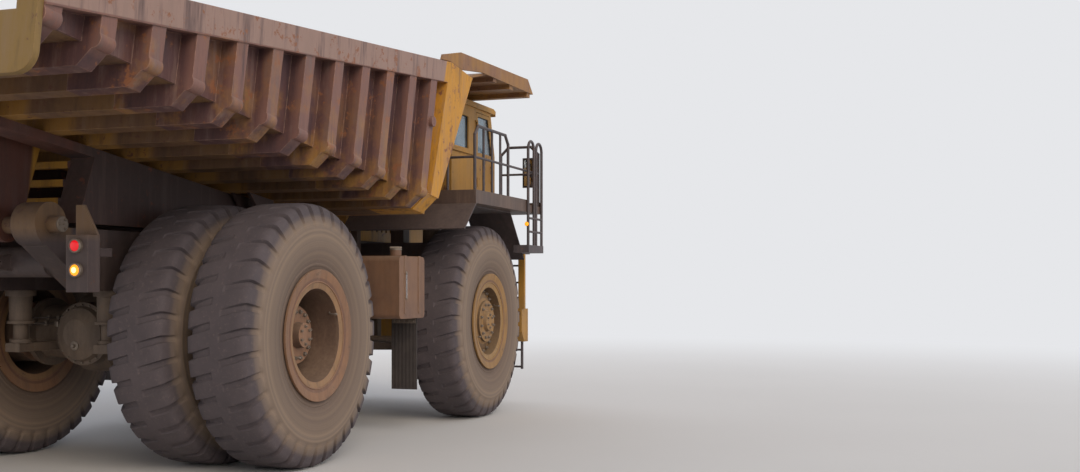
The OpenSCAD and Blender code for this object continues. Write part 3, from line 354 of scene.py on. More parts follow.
# Body side plates and ribs: enamel scoured by rock to a dark reddish brown with a purple cast, its darkness
# partly painted shade on the plate between the ribs and on their rear faces
bodySidePlate = weathered(
    "scouredSidePlatePaintedLight", "#513436 #603c33 #33222a #8a5636 #8d7469 #b98f78", sideZones, patchMm=450,
    chipMm=140, streaks=0.8, chipFrom=0.76, dents=0.3, edgeWear=0.9, edgeMm=12, dustAll=0.18)
# Floor beams and plates: ochre enamel under brown dust
bodyFloorPlate = weathered(
    "scouredFloorPlate", "#79562c #61432f #33241f #5b3426 #86705e #a98450", floorZones, streaks=0.6,
    chipFrom=0.77, dents=0.25, edgeWear=0.9)
# Primed and oxidised plate on the long stringers: dull red brown
stringerPlate = weathered(
    "oxidisedStringerPlate", "#5e3328 #4a2d28 #2b1e1d #6e3b2a #705d54 #8f6350", stringerZones, dents=0.15)
# Dark machinery enamel under road dust, on the frame and guards
darkEnamel = weathered(
    "dustyDarkEnamel", "#3b3032 #463a39 #241d1e #58382b #6f6059 #77665c", tailZones, patchMm=500,
    dustAll=0.35, dustUp=1.2)
# The same enamel on plate that is walked on, with rolled studs drawn a little coarse so that they show
deckEnamel = weathered(
    "studdedDeckPlate", "#463835 #554239 #2a211f #5f4030 #836e5e #8d7a6d", patchMm=500, dustUp=1.25,
    studMm=70)
# Tan-brown enamel of the tanks and boxes low on the sides, always behind the front tyre's spray
tankEnamel = weathered(
    "sprayedTankEnamel", "#7a563e #694a3b #3a2b26 #5b3a2b #8a735f #a1835f", patchMm=450, dustAll=0.4)
# Mild steel tube, brush painted dark, rubbed paler where hands and boots reach
railSteel = weathered(
    "paintedRailTube", "#393438 #484044 #262226 #664636 #766a66 #8a7d74", patchMm=200, streakMm=60,
    chipMm=40, dustMm=30, edgeMm=2, dents=0.0)
# Cast steel, as cast and oily under dust, on axles, knuckles and struts
castSteel = weathered(
    "sandCastSteel", "#544841 #625347 #2e2625 #68483a #85725f #8f8173", patchMm=300, streakMm=90,
    chipMm=30, dustMm=40, rough=0.65, dustAll=0.45, dents=0.2)


def rimZones(wheel):
    # rings that show on a rim: a dark red-brown line painted as shade in the flange's groove, and painted
    # shade darkening the well behind the gutter
    low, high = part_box(wheel)

    def zones(add, coord, patch, streak):
        away = add("VectorMath SUBTRACT", [coord.outputs["Object"], (low + high) / 2])
        axes = add("SeparateXYZ", [away])
        flat = add("CombineXYZ", [axes, 0, axes.outputs[2]])
        radius = add("VectorMath LENGTH", [flat])
        # the well's wall, which faces the axle, is darkened as painted shade
        lean = add("SeparateXYZ", [coord.outputs["Normal"]])
        sideways = add("Math ABSOLUTE", [lean.outputs[1]])
        wall = add("MapRange", [sideways, 0.6, 0.3, 0, 0.85])
        inner = add("MapRange", [radius, 0.56, 0.54])
        # painted shade in the rim's well
        well = add("Math MULTIPLY", [wall, inner])
        layers = [(well, zoneTints["rimWellShade"])]
        for middle, half, strength, tint in rimRings:
            off = add("Math SUBTRACT", [radius, middle])
            size = add("Math ABSOLUTE", [off])
            mask = add("MapRange", [size, half, half * 0.8, 0, strength])
            layers.append((mask, tint))
        return layers
    return zones


# middle radius, half width, strength and colour of each ring; the one at 0.568 is painted shade in the
# flange's groove
rimRings = [(0.375, 0.055, 0.7, "#4a352d"), (0.568, 0.016, 0.75, "#5c3329"), (0.505, 0.03, 0.4, "#a3814e")]
# Wheel enamel on pressed steel rims, under tan dust
rearRimEnamel = weathered(
    "dustyRimEnamel", "#8b6040 #7b573f #46332b #5f4230 #957d68 #b28b62", rimZones("rear_tyres_right"),
    patchMm=260, streakMm=90, chipMm=60, dustMm=40, dustAll=0.45, edgeMm=6)
frontRimEnamel = weathered(
    "sprayedRimEnamel", "#9a6f33 #88643a #4a382b #5f4230 #98805f #bb955f", rimZones("front_tyre_right"),
    patchMm=260, streakMm=90, chipMm=60, dustMm=40, dustAll=0.4, edgeMm=6)


def tyreRubber(name, **look):
    # Moulded carbon-black rubber: grey purple on the tread, the sidewalls tan with dust in rings that
    # the spin draws
    mat, add, shader, coord = newMaterial(name)
    place = coord.outputs["Object"]
    axes = add("SeparateXYZ", [place])
    flat = add("CombineXYZ", [axes, 0, axes.outputs[2]])
    radius = add("VectorMath LENGTH", [flat])
    ringPlace = add("CombineXYZ", [radius])
    bands, patch, fine = [
        add("TexNoise", {"Vector": at, "Scale": 1000 / look[size], "Detail": detail, "Roughness": broken})
        for at, size, detail, broken in (
            (ringPlace, "bandMm", 5, 0.6), (place, "patchMm", 6, 0.65), (place, "gritMm", 8, 0.7))]
    wall = add("MapRange", [radius, look["shoulder"], look["shoulder"] - 0.1])
    nearRim = add("MapRange", [radius, 1.05, 0.68, 0, 0.65])
    dusty = add("MapRange", [patch, 0.3, 0.7, 0.25, 0.8])
    banded = add("MapRange", [bands, 0.3, 0.7, 0.35, 1.0])
    wallDust = add("Math MULTIPLY", [wall, banded])
    scuff = add("MapRange", [fine, 0.55, 0.75, 0, 0.5])
    colour = add("Mix RGBA", {0: dusty, 6: look["rubber"], 7: look["dust"]})
    for mask, tint in [(wallDust, look["wallDust"]), (nearRim, look["rimDust"]), (scuff, look["scuff"])]:
        colour = add("Mix RGBA", {0: mask, 6: colour, 7: tint})
    bevelled = add("Bevel", {"samples": 4, "Radius": look["edgeMm"] / 1000})
    ringBump = add("Bump", {"Strength": 0.35, "Distance": 0.006, "Height": bands, "Normal": bevelled})
    bump = add("Bump", {"Strength": 0.5, "Distance": 0.004, "Height": fine, "Normal": ringBump})
    fill(shader, {"Base Color": colour, "Roughness": 0.85, "Normal": bump})
    return mat


treadRubber = tyreRubber(
    "mouldedTyreRubber", rubber="#3f393d", dust="#5f5557", wallDust="#94806c", rimDust="#5b4a41",
    scuff="#7b6c66", bandMm=45, patchMm=500, gritMm=35, shoulder=1.24, edgeMm=8)


def simpleFinish(name, tones, grainMm, rough, **look):
    # a plain finish with slight unevenness in tone and gloss
    mat, add, shader, coord = newMaterial(name)
    noise = add("TexNoise", {"Vector": coord.outputs["Object"], "Scale": 1000 / grainMm, "Detail": 6.0})
    dark, light = tones.split()
    tone = add("Mix RGBA", {0: noise, 6: dark, 7: light})
    uneven = add("MapRange", [noise, 0, 1, rough[0], rough[1]])
    height = noise
    if "fluteMm" in look:
        # upright flutes or ribs moulded across the face
        across = add("SeparateXYZ", [coord.outputs["Object"]])
        turns = add("Math MULTIPLY", [across.outputs[1], 2 * math.pi * 1000 / look["fluteMm"]])
        height = add("Math SINE", [turns])
    bump = add("Bump", {
        "Strength": look.get("relief", 0.2), "Distance": look.get("reliefDeep", 0.001), "Height": height})
    fill(shader, {"Base Color": tone, "Roughness": uneven, "Normal": bump,
                  "Metallic": look.get("metal", 0.0), "Transmission Weight": look.get("clear", 0.0)})
    if "glow" in look:
        fill(shader, {"Emission Color": look["glow"], "Emission Strength": look["glowStrength"]})
    return mat


# Toughened float glass with a film of dust
cabGlass = simpleFinish("dustyFloatGlass", "#8ea6b4 #b9c7cf", grainMm=150, rough=(0.03, 0.2), clear=0.85)
# Hard chrome on ground steel rods
chromeRod = simpleFinish("hardChromedRod", "#8f9093 #b5b6b8", grainMm=60, rough=(0.12, 0.28), metal=1.0)
# Silvered mirror glass
mirrorGlass = simpleFinish("silveredGlass", "#b9bcc0 #c6c9cc", grainMm=300, rough=(0.02, 0.08), metal=1.0)
# Cured rubber sheet with moulded upright ribs
flapRubber = simpleFinish(
    "curedSheetRubber", "#2b2626 #4f4743", grainMm=120, rough=(0.75, 0.95), fluteMm=50,
    relief=0.35, reliefDeep=0.004)
# Extruded rubber seal, matt black
sealRubber = simpleFinish("extrudedSealRubber", "#1c1b1c #2f2c2b", grainMm=20, rough=(0.6, 0.85))
# Woven seat trim and moulded dark plastic in the cab
seatTrim = simpleFinish("wovenSeatTrim", "#1e1d1f #3a3735", grainMm=12, rough=(0.7, 0.95))
# Turned and zinc-plated steel of nuts, studs and clips, dulled by dust
platedSteel = simpleFinish("zincPlatedSteel", "#6a625b #98897a", grainMm=18, rough=(0.45, 0.75), metal=0.55)
# Drawn steel pipe, painted dark
pipeSteel = simpleFinish("drawnSteelPipe", "#3b3431 #5f534b", grainMm=40, rough=(0.4, 0.7), metal=0.3)
# Pressed lamp glass: clear, red, and the amber lamp that is lit
clearLens = simpleFinish(
    "pressedClearLens", "#c3c7cc #e0e3e6", grainMm=40, rough=(0.05, 0.15), clear=0.75,
    fluteMm=14, relief=0.5)
redLens = simpleFinish(
    "mouldedRedLens", "#9c0f18 #c21622", grainMm=30, rough=(0.08, 0.2), fluteMm=12, relief=0.4,
    glow="#ff1a22", glowStrength=0.55)
amberLens = simpleFinish(
    "mouldedAmberLens", "#d87c14 #ee9a2a", grainMm=30, rough=(0.08, 0.2), fluteMm=12,
    relief=0.4, glow="#ff9a20", glowStrength=1.3)
# The bulb's own light, where it comes through the middle of the amber lens
litCore = simpleFinish(
    "litBulbCore", "#f4c67a #ffe2a8", grainMm=20, rough=(0.1, 0.2), glow="#ffdf9a",
    glowStrength=1.6)
# Bright aluminium vapour on the lamps' bowls
lampBowl = simpleFinish("vapourCoatedBowl", "#b4b5b8 #cfd0d2", grainMm=80, rough=(0.08, 0.2), metal=1.0)

finishOf = {
    darkEnamel: "frame engine fenders mirrors tail_lamps", deckEnamel: "decks", tankEnamel: "tanks",
    railSteel: "handrails ladders", canopyEnamel: "body_canopy body_front", bodyFloorPlate: "body_floor",
    bodySidePlate: "body_side_right body_side_left", stringerPlate: "body_stringers",
    castSteel: "rear_axle rear_suspension front_suspension tie_rod knuckle_right knuckle_left",
    cabGlass: "cab_glass door_glass", clearLens: "headlamps", seatTrim: "cab_interior",
    flapRubber: "mud_flaps",
}
finishOf = {name: finish for finish, names in finishOf.items() for name in names.split()}
for name, node in nodes.items():
    finish = finishOf.get(name, yellowEnamel)
    if "tyre" in name:
        finish = treadRubber
    if "rim" in name:
        finish = rearRimEnamel if "rear" in name else frontRimEnamel
    if name.startswith(("hoist_rod", "hoist_stage")):
        finish = chromeRod
    node.data.materials.clear()
    node.data.materials.append(finish)
print("finishes laid on", len(nodes), "nodes")


def turned(profile, count=24, closed=False):
    # (radius, height) pairs turned round Z; pairs run outwards and up, a radius of 0 is one point
    verts, faces, rows = [], [], []
    for r, h in profile:
        if r < 1e-6:
            rows.append([len(verts)] * count)
            verts.append(Vector((0, 0, h)))
            continue
        rows.append(list(range(len(verts), len(verts) + count)))
        for i in range(count):
            a = 2 * math.pi * i / count
            verts.append(Vector((r * math.cos(a), r * math.sin(a), h)))
    for low, top in zip(rows, rows[1:] + ([rows[0]] if closed else [])):
        for i in range(count):
            j = (i + 1) % count
            face = []
            for v in (low[i], low[j], top[j], top[i]):
                if v not in face:
                    face.append(v)
            if len(face) > 2:
                faces.append(face)
    return verts, faces


def slab(low, high, edge=0.004):
    # a plate or block with rounded edges
    bm = bmesh.new()
    bmesh.ops.create_cube(bm, size=1.0)
    low, high = Vector(low), Vector(high)
    for v in bm.verts:
        v.co = Vector([(low[k] + high[k]) / 2 + v.co[k] * (high[k] - low[k]) for k in range(3)])
    bmesh.ops.bevel(bm, geom=bm.edges[:], offset=min(edge, min(high - low) * 0.4), segments=2,
                    profile=0.5, affect="EDGES")
    bm.verts.index_update()
    shape = [v.co.copy() for v in bm.verts], [[v.index for v in f.verts] for f in bm.faces]
    bm.free()
    return shape


def bent(points, bend, steps=6):
    # a run of points with its corners turned into curves
    points = [Vector(p) for p in points]
    out = [points[0]]
    for a, b, c in zip(points, points[1:], points[2:]):
        p = b + (a - b).normalized() * min(bend, (a - b).length * 0.45)
        q = b + (c - b).normalized() * min(bend, (c - b).length * 0.45)
        out += [p.lerp(b, i / steps).lerp(b.lerp(q, i / steps), i / steps) for i in range(steps + 1)]
    return out + [points[-1]]


def swept(points, radius, count=10, closed=False, side=None):
    # a round bar along the points
    n = len(points)
    verts, faces, tangents = [], [], []
    for i, p in enumerate(points):
        before = points[i - 1] if i or closed else p
        after = points[(i + 1) % n] if i < n - 1 or closed else p
        tangents.append(((p - before).normalized() + (after - p).normalized()).normalized())
    side = Vector(side) if side else tangents[0].orthogonal().normalized()
    for p, t in zip(points, tangents):
        side = (side - t * side.dot(t)).normalized()
        other = t.cross(side)
        for k in range(count):
            a = 2 * math.pi * k / count
            verts.append(p + side * radius * math.cos(a) + other * radius * math.sin(a))
    for i in range(n if closed else n - 1):
        a, b = i * count, (i + 1) % n * count
        faces += [[a + k, a + (k + 1) % count, b + (k + 1) % count, b + k] for k in range(count)]
    if not closed:
        faces += [list(range(count))[::-1], list(range((n - 1) * count, n * count))]
    return verts, faces


def facing(at, along=(0, 0, 1), spin=0.0):
    # puts a shape made round Z at a place, looking along a direction
    look = Vector(along).to_track_quat("Z", "Y").to_matrix().to_4x4()
    return Matrix.Translation(Vector(at)) @ look @ Matrix.Rotation(spin, 4, "Z")


def newHeap():
    return {"verts": [], "faces": [], "mats": []}


def pile(heap, shape, where=None, mat=0):
    # adds a shape to a heap, with the number of its material
    where = where or Matrix.Identity(4)
    start = len(heap["verts"])
    heap["verts"] += [where @ v for v in shape[0]]
    heap["faces"] += [[start + i for i in f] for f in shape[1]]
    heap["mats"] += [mat] * len(shape[1])


def knob(heap, at, along, profile, count=24, mat=0):
    # a turned shape, stood at a place
    pile(heap, turned(profile, count), facing(at, along), mat)


def makePiece(name, heap, mats, body="chassis", at=(0, 0, 0), stands=()):
    # the heap's faces as one piece that rides on a body
    me = bpy.data.meshes.new(name)
    me.from_pydata([tuple(v) for v in heap["verts"]], [], heap["faces"])
    me.validate()
    for m in mats:
        me.materials.append(m)
    me.polygons.foreach_set("material_index", heap["mats"])
    me.shade_smooth()
    me.set_sharp_from_angle(angle=math.radians(35))
    ob = bpy.data.objects.new(name, me)
    ob.location = at
    bpy.context.scene.collection.objects.link(ob)
    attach(ob, body)
    if stands:
        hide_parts(*stands)


def middleOf(name):
    low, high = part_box(name)
    return (low + high) / 2


def touch(name, start, along):
    # where a line from start first meets a CAD node
    hit, spot, _, _ = nodes[name].ray_cast(Vector(start), Vector(along).normalized())
    return spot if hit else None


def ray(angle):
    # out from the middle of a wheel
    return Vector((math.cos(angle), 0, math.sin(angle)))


sides = {"right": -1, "left": 1}
forward, back = Vector((1, 0, 0)), Vector((-1, 0, 0))
low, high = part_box("rear_tyres_right")
axleX, axleZ = (low.x + high.x) / 2, (low.z + high.z) / 2
treadR = (high.z - low.z) / 2

tyre = {
    "pitches": 36,
    "grooveDeep": 0.045,
    "columns": (0.0, 0.05, 0.28, 0.33, 0.66),  # shares of a pitch; the groove's bed is the 2nd to the 3rd
    "skew": 0.3,  # of a pitch, from the middle of the tread to its edge
    "skewSpan": (0.05, 0.26),  # where that skew begins off the middle, and how wide it runs
    # (radius, distance from the middle, groove depth share) from the bead to the middle of the tread
    "profile": [
        (0.6228, 0.300, 0), (0.640, 0.312, 0), (0.680, 0.320, 0), (0.697, 0.322, 0), (0.706, 0.331, 0),
        (0.722, 0.334, 0), (0.732, 0.328, 0), (0.790, 0.346, 0), (0.850, 0.360, 0), (0.920, 0.3695, 0),
        (0.985, 0.370, 0), (1.045, 0.3665, 0), (1.060, 0.3695, 0), (1.085, 0.3675, 0), (1.098, 0.3605, 0),
        (1.135, 0.355, 0.28), (1.175, 0.347, 0.5), (1.235, 0.333, 0.75), (1.285, 0.316, 0.9),
        (1.312, 0.300, 1), (1.330, 0.270, 0.9), (1.339, 0.225, 0.7), (1.345, 0.150, 0.45),
        (1.345, 0.058, 0.3), (1.345, 0.044, 0),
    ],
    "offset": 0.25,  # of a pitch, by which each half of the tread is turned from the middle
    "twinPhase": 0.37,  # of a pitch, from one tyre of a pair to the other
}
tyreScale = treadR / tyre["profile"][-1][0]


def tyreShape(phase):
    # one tyre round Y, closed by the seat that the rim hides
    half = tyre["profile"]
    start, wide = tyre["skewSpan"]
    rows = [(r, y, d, 1) for r, y, d in half] + [(r, -y, d, -1) for r, y, d in reversed(half)]
    n = len(rows)
    verts, faces = [], []
    count = tyre["pitches"] * len(tyre["columns"])
    for k, (r, y, deep, hand) in enumerate(rows):
        before, after = rows[max(k - 1, 0)], rows[min(k + 1, n - 1)]
        inward = Vector((after[0] - before[0], after[1] - before[1]))
        inward = Vector((inward.y, -inward.x)).normalized()      # (radial, sideways), into the rubber
        twist = phase + hand * tyre["offset"]
        twist += hand * tyre["skew"] * min(max(abs(y) - start, 0), wide) / wide
        for p in range(tyre["pitches"]):
            for c, share in enumerate(tyre["columns"]):
                down = deep * tyre["grooveDeep"] if c in (1, 2) else 0
                angle = 2 * math.pi * (p + share + twist) / tyre["pitches"]
                rr, yy = r + inward.x * down, y + inward.y * down
                verts.append(Vector((rr * math.cos(angle), yy, rr * math.sin(angle))) * tyreScale)
    for k in range(n):
        a, b = k * count, (k + 1) % n * count
        faces += [[a + i, b + i, b + (i + 1) % count, a + (i + 1) % count] for i in range(count)]
    return verts, faces


for side, hand in sides.items():
    heap = newHeap()
    pile(heap, tyreShape(0.0))
    makePiece("frontTyre" + side.title(), heap, [treadRubber], "front_wheel_" + side,
              at=middleOf("front_tyre_" + side), stands=["front_tyre_" + side])
    low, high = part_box("front_tyre_" + side)
    width = high.y - low.y
    low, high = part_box("rear_tyres_" + side)
    heap = newHeap()
    for k, y in enumerate((low.y + width / 2, high.y - width / 2)):
        pile(heap, tyreShape(tyre["twinPhase"] * k), Matrix.Translation((0, y - (low.y + high.y) / 2, 0)))
    makePiece("rearTyres" + side.title(), heap, [treadRubber], "rear_wheels_" + side,
              at=middleOf("rear_tyres_" + side), stands=["rear_tyres_" + side])
print("tyres moulded")


def hexNut(a):
    # washer, chamfered nut and stud end, by the width across
    washer = [(0, 0), (0.62 * a, 0), (0.62 * a, 0.1 * a), (0, 0.1 * a)]
    nut = [(0, 0.1 * a), (0.56 * a, 0.1 * a), (0.56 * a, 0.62 * a), (0.46 * a, 0.72 * a), (0, 0.72 * a)]
    stud = [(0, 0.72 * a), (0.24 * a, 0.72 * a), (0.24 * a, 0.98 * a), (0.19 * a, 1.04 * a), (0, 1.04 * a)]
    return [turned(washer, 16), turned(nut, 6), turned(stud, 8)]


def nutRing(heap, centre, along, ringR, count, across):
    # nuts in a ring, each turned as the spanner left it
    look = facing((0, 0, 0), along)
    for i in range(count):
        angle = 2 * math.pi * (i + 0.5) / count
        spot = Vector(centre) + look @ Vector((ringR * math.cos(angle), ringR * math.sin(angle), 0))
        for shape in hexNut(across):
            pile(heap, shape, facing(spot, along, rnd.uniform(0, 1)))


wheelIron = {
    # for each ring: distance out where no face is met, radius, count, nut's width across flats
    "front": [(0.16, 0.43, 20, 0.044), (0.285, 0.235, 12, 0.036), (0.33, 0.09, 6, 0.026)],
    "rear": [(0.06, 0.42, 20, 0.044), (0.54, 0.24, 16, 0.036), (0.63, 0.09, 6, 0.026)],
    "lockRing": (0.609, 0.02, 0.035),  # radius, thickness and depth below the rim's edge
    "beads": [(0.545, 0.016), (0.452, 0.02)],  # radius, thickness of the rings rolled in the flange
    "valve": [(0.475, 0.12), (0.44, 0.11), (0.43, 0.04)],  # radius, depth below the rim's edge
    "valveTurns": (0.5, 0.5 + math.pi),
}
beadEnamel = {"front": frontRimEnamel, "rear": rearRimEnamel}
for side, hand in sides.items():
    for pair, rimName, tyreName in (("front", "front_rim_" + side, "front_tyre_" + side),
                                    ("rear", "rear_rims_" + side, "rear_tyres_" + side)):
        at = middleOf(tyreName)
        out = Vector((0, hand, 0))
        heap = newHeap()
        for away, ringR, count, across in wheelIron[pair]:
            # each ring of nuts seats on the rim's own face
            spot = touch(rimName, at + out * 1.2 + Vector((ringR, 0, 0)), -out)
            seat = abs(spot.y - at.y) if spot else away
            nutRing(heap, out * seat, out, ringR, count, across)
        faceY = abs(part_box(rimName)[1 if hand > 0 else 0].y - at.y)
        radius, thick, deep = wheelIron["lockRing"]
        # the lock ring is split: it stops short of a full turn
        split = [out * (faceY - deep) + ray(2 * math.pi * i / 96) * radius for i in range(2, 95)]
        pile(heap, swept(split, thick / 2, 8, side=out))
        for radius, thick in wheelIron["beads"]:
            spot = touch(rimName, at + out * 1.2 + Vector((radius, 0, 0)), -out)
            seat = out * abs(spot.y - at.y)
            loop = [seat + ray(2 * math.pi * i / 72) * radius for i in range(72)]
            pile(heap, swept(loop, thick / 2, 10, closed=True, side=out), None, 1)
        for a in wheelIron["valveTurns"]:
            # valve stem, with its cap, lying in the rim's opening
            stem = bent([ray(a) * r + out * (faceY - deep) for r, deep in wheelIron["valve"]], 0.03)
            pile(heap, swept(stem, 0.008, 8))
            knob(heap, stem[-1], out, [(0, 0), (0.013, 0), (0.013, 0.024), (0.01, 0.03), (0, 0.03)], 12)
        makePiece(pair + "WheelIron" + side.title(), heap, [platedSteel, beadEnamel[pair]],
                  ("front_wheel_" if pair == "front" else "rear_wheels_") + side, at=at)
print("wheel nuts and rings fitted")

lamps = {
    "tail": {"lens": 0.05, "bezel": 0.066, "y": 1.13, "amberZ": 1.99, "redZ": 2.21},
    "head": {"lens": 0.1, "bezel": 0.11, "y": (-1.6, -1.25, 1.25, 1.6)},
    "marker": {"lens": 0.03, "out": 0.03, "x": 5.925, "y": 2.712, "z": 2.76, "postY": 2.721},
}


def domed(r, foot, rise, angles=(0, 0.4, 0.8, 1.1, 1.4)):
    # a dome's profile from its edge nearly to its middle
    return [(r * math.cos(t), foot + rise * math.sin(t)) for t in angles]


low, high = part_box("tail_lamps")
for side, hand in sides.items():
    own = lamps["tail"]
    r, rim = own["lens"], own["bezel"]
    for tint, z, lens in (("Amber", own["amberZ"], amberLens), ("Red", own["redZ"], redLens)):
        spot = touch("tail_lamps", (low.x - 0.5, hand * own["y"], z), forward)
        heap = newHeap()
        ring = [(rim, -0.03), (rim, 0.006), (rim - 0.005, 0.012), (r + 0.001, 0.012), (r + 0.001, -0.03)]
        pile(heap, turned(ring, 40, closed=True), facing(spot, back), 1)
        dome = [(0, -0.005), (r, -0.005), (r, 0.006)] + domed(r, 0.006, 0.014, (0.3, 0.6, 0.9, 1.2, 1.4))
        knob(heap, spot, back, dome + [(0, 0.0205)], 40)
        if tint == "Amber":
            core = [(0, 0.012), (0.026, 0.012), (0.026, 0.0185), (0.018, 0.0213), (0, 0.0225)]
            knob(heap, spot, back, core, 32, 2)
        for k in range(4):
            a = math.pi / 4 + k * math.pi / 2
            screw = spot + Vector((-0.008, (rim - 0.007) * math.cos(a), (rim - 0.007) * math.sin(a)))
            knob(heap, screw, back, [(0, 0), (0.005, 0), (0.005, 0.004), (0, 0.006)], 10, 1)
        makePiece("tailLens" + tint + side.title(), heap, [lens, platedSteel, litCore],
                  "chassis")
    # small amber lamp on the ladder's post, facing back
    own = lamps["marker"]
    x, r, rise = axleX + own["x"], own["lens"], own["out"]
    spot = touch("ladders", (x - 0.5, hand * own["postY"], own["z"]), forward)
    spot = Vector((spot.x if spot else x, hand * own["y"], own["z"]))
    heap = newHeap()
    seat = [(0, -0.01), (r + 0.004, -0.01), (r + 0.004, rise * 0.5), (0, rise * 0.5)]
    knob(heap, spot, back, seat, 24, 1)
    cap = [(0, rise * 0.5), (r, rise * 0.5), (r, rise * 0.7), (r * 0.75, rise), (0, rise * 1.1)]
    knob(heap, spot, back, cap)
    makePiece("markerLamp" + side.title(), heap, [amberLens, sealRubber], "chassis")

low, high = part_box("headlamps")
heap = newHeap()
r, rim = lamps["head"]["lens"], lamps["head"]["bezel"]
for y in lamps["head"]["y"]:
    # bowl with its bulb, a domed lens and the ring that holds it, all in the bumper's pocket
    at = (high.x - 0.002, y, (low.z + high.z) / 2)
    ring = [(rim, -0.056), (rim, -0.002), (rim - 0.006, 0), (r, 0), (r, -0.05), (0, -0.056)]
    bowl = [(0, -0.05)] + domed(r, -0.014, -0.036)[::-1]
    bulb = [(0, -0.048), (0.012, -0.046), (0.012, -0.028), (0.006, -0.022), (0, -0.02)]
    lens = [(0, -0.008), (r * 0.9, -0.016)] + domed(r, -0.012, 0.01) + [(0, -0.002)]
    for profile, count, mat in ((ring, 48, 1), (bowl, 48, 2), (bulb, 16, 1), (lens, 48, 0)):
        knob(heap, at, forward, profile, count, mat)
makePiece("headlampUnits", heap, [clearLens, darkEnamel, lampBowl], "chassis",
          stands=["headlamps"])
print("lamps fitted")

trim = {"seal": 0.011, "least": 0.1}  # seal's radius; panes smaller than this, in square metres, get none
for nodeName, body in (("cab_glass", "chassis"), ("door_glass", "cab_door")):
    bm = bmesh.new()
    bm.from_mesh(nodes[nodeName].data)
    bmesh.ops.remove_doubles(bm, verts=bm.verts[:], dist=0.0002)
    bmesh.ops.dissolve_limit(bm, angle_limit=math.radians(2), verts=bm.verts[:], edges=bm.edges[:])
    heap = newHeap()
    for f in bm.faces:
        if f.calc_area() > trim["least"]:
            loop = [v.co.copy() for v in f.verts]
            pile(heap, swept(loop, trim["seal"], 8, closed=True, side=f.normal))
    bm.free()
    makePiece("paneSeals_" + nodeName, heap, [sealRubber], body)

mirror = {"y": (2.40, 2.62), "z": (3.385, 3.795), "probeZ": 3.5, "frame": 0.006}
heap = newHeap()
low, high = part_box("mirrors")
for hand in sides.values():
    # silvered face, looking back to the driver, in a thin frame
    face = touch("mirrors", (low.x - 0.6, hand * sum(mirror["y"]) / 2, mirror["probeZ"]), forward)
    ys, zs = sorted(hand * y for y in mirror["y"]), mirror["z"]
    pile(heap, slab((face.x - 0.004, ys[0], zs[0]), (face.x + 0.004, ys[1], zs[1]), 0.003))
    corners = [[Vector((face.x - 0.003, y, z)) for z in zs] for y in ys]
    for bar in (*zip(*corners), *corners):
        pile(heap, swept(bar, mirror["frame"], 8), None, 1)
makePiece("mirrorFaces", heap, [mirrorGlass, sealRubber], "chassis")

# wiper: spindle, sprung arm and blade on the windscreen; places by distance to the right and height
wiper = {"foot": (1.0, 3.72), "tip": (1.5, 4.3), "blade": 0.3, "arm": 0.009, "noGlassX": 5.04}
rayX = high.x + 2  # well ahead of the cab


def onScreen(y, z, away=0.02):
    spot = touch("cab_glass", (rayX, -y, z), back)
    return Vector((spot.x + away if spot else wiper["noGlassX"], -y, z))


heap = newHeap()
foot, tip = onScreen(*wiper["foot"]), onScreen(*wiper["tip"], 0.03)
pile(heap, swept(bent([foot, foot + Vector((0.03, 0, 0)), tip], 0.02), wiper["arm"], 8))
knob(heap, foot, forward, [(0, -0.03), (0.022, -0.03), (0.022, 0.02), (0.014, 0.03), (0, 0.03)], 20)
y, z = wiper["tip"]
pile(heap, swept([onScreen(y, z + k * wiper["blade"] / 2, 0.012) for k in (-1, 1)], 0.008, 8))
makePiece("screenWiper", heap, [sealRubber], "chassis")
print("cab trim fitted")

axleKit = {
    "coverNuts": (0.304, 20, 0.022),  # ring's radius, count, nut's width
    "coverDeep": 0.6,  # nuts seat no further behind the axle than this
    "plug": 0.035, "plugDrop": 0.12,
    "pipe": 0.014, "pipeUp": 0.1, "clipsY": (0.3, 0.45, 0.6, 0.75, 0.86),
}
heap = newHeap()
rayX = axleX - 2.5  # well behind the axle
ringR, count, across = axleKit["coverNuts"]
for i in range(count):
    a = 2 * math.pi * i / count
    spot = touch("rear_axle", (rayX, ringR * math.cos(a), axleZ + ringR * math.sin(a)), forward)
    if spot and spot.x > axleX - axleKit["coverDeep"]:
        for shape in hexNut(across):
            pile(heap, shape, facing(spot, back, a))
spot = touch("rear_axle", (rayX, 0.0, axleZ - axleKit["plugDrop"]), forward)
if spot:
    a = axleKit["plug"]
    knob(heap, spot, back, [(0, 0), (1.4 * a, 0), (1.4 * a, 0.3 * a), (a, 0.5 * a), (0, 0.5 * a)])
    head = [(0, 0.5 * a), (0.6 * a, 0.5 * a), (0.6 * a, 1.1 * a), (0.5 * a, 1.2 * a), (0, 1.2 * a)]
    knob(heap, spot, back, head, 6)
for hand in sides.values():
    # rigid brake oil pipes, clipped along the housing from its middle to the wheel's end
    for lift, r in ((0.0, axleKit["pipe"]), (0.06, axleKit["pipe"] * 0.75)):
        run = []
        for y in axleKit["clipsY"]:
            spot = touch("rear_axle", (rayX, hand * y, axleZ + axleKit["pipeUp"] + lift), forward)
            if spot:
                run.append(Vector((spot.x - r - 0.004, spot.y, spot.z)))
        if len(run) > 2:
            pile(heap, swept(bent(run, 0.05), r, 10), None, 1)
            inner, outer = Vector((r + 0.006, 0.018, r + 0.014)), Vector((r + 0.01, 0.018, r + 0.014))
            for p in run:
                pile(heap, slab(p - inner, p + outer, 0.003))
makePiece("axleFittings", heap, [platedSteel, pipeSteel])

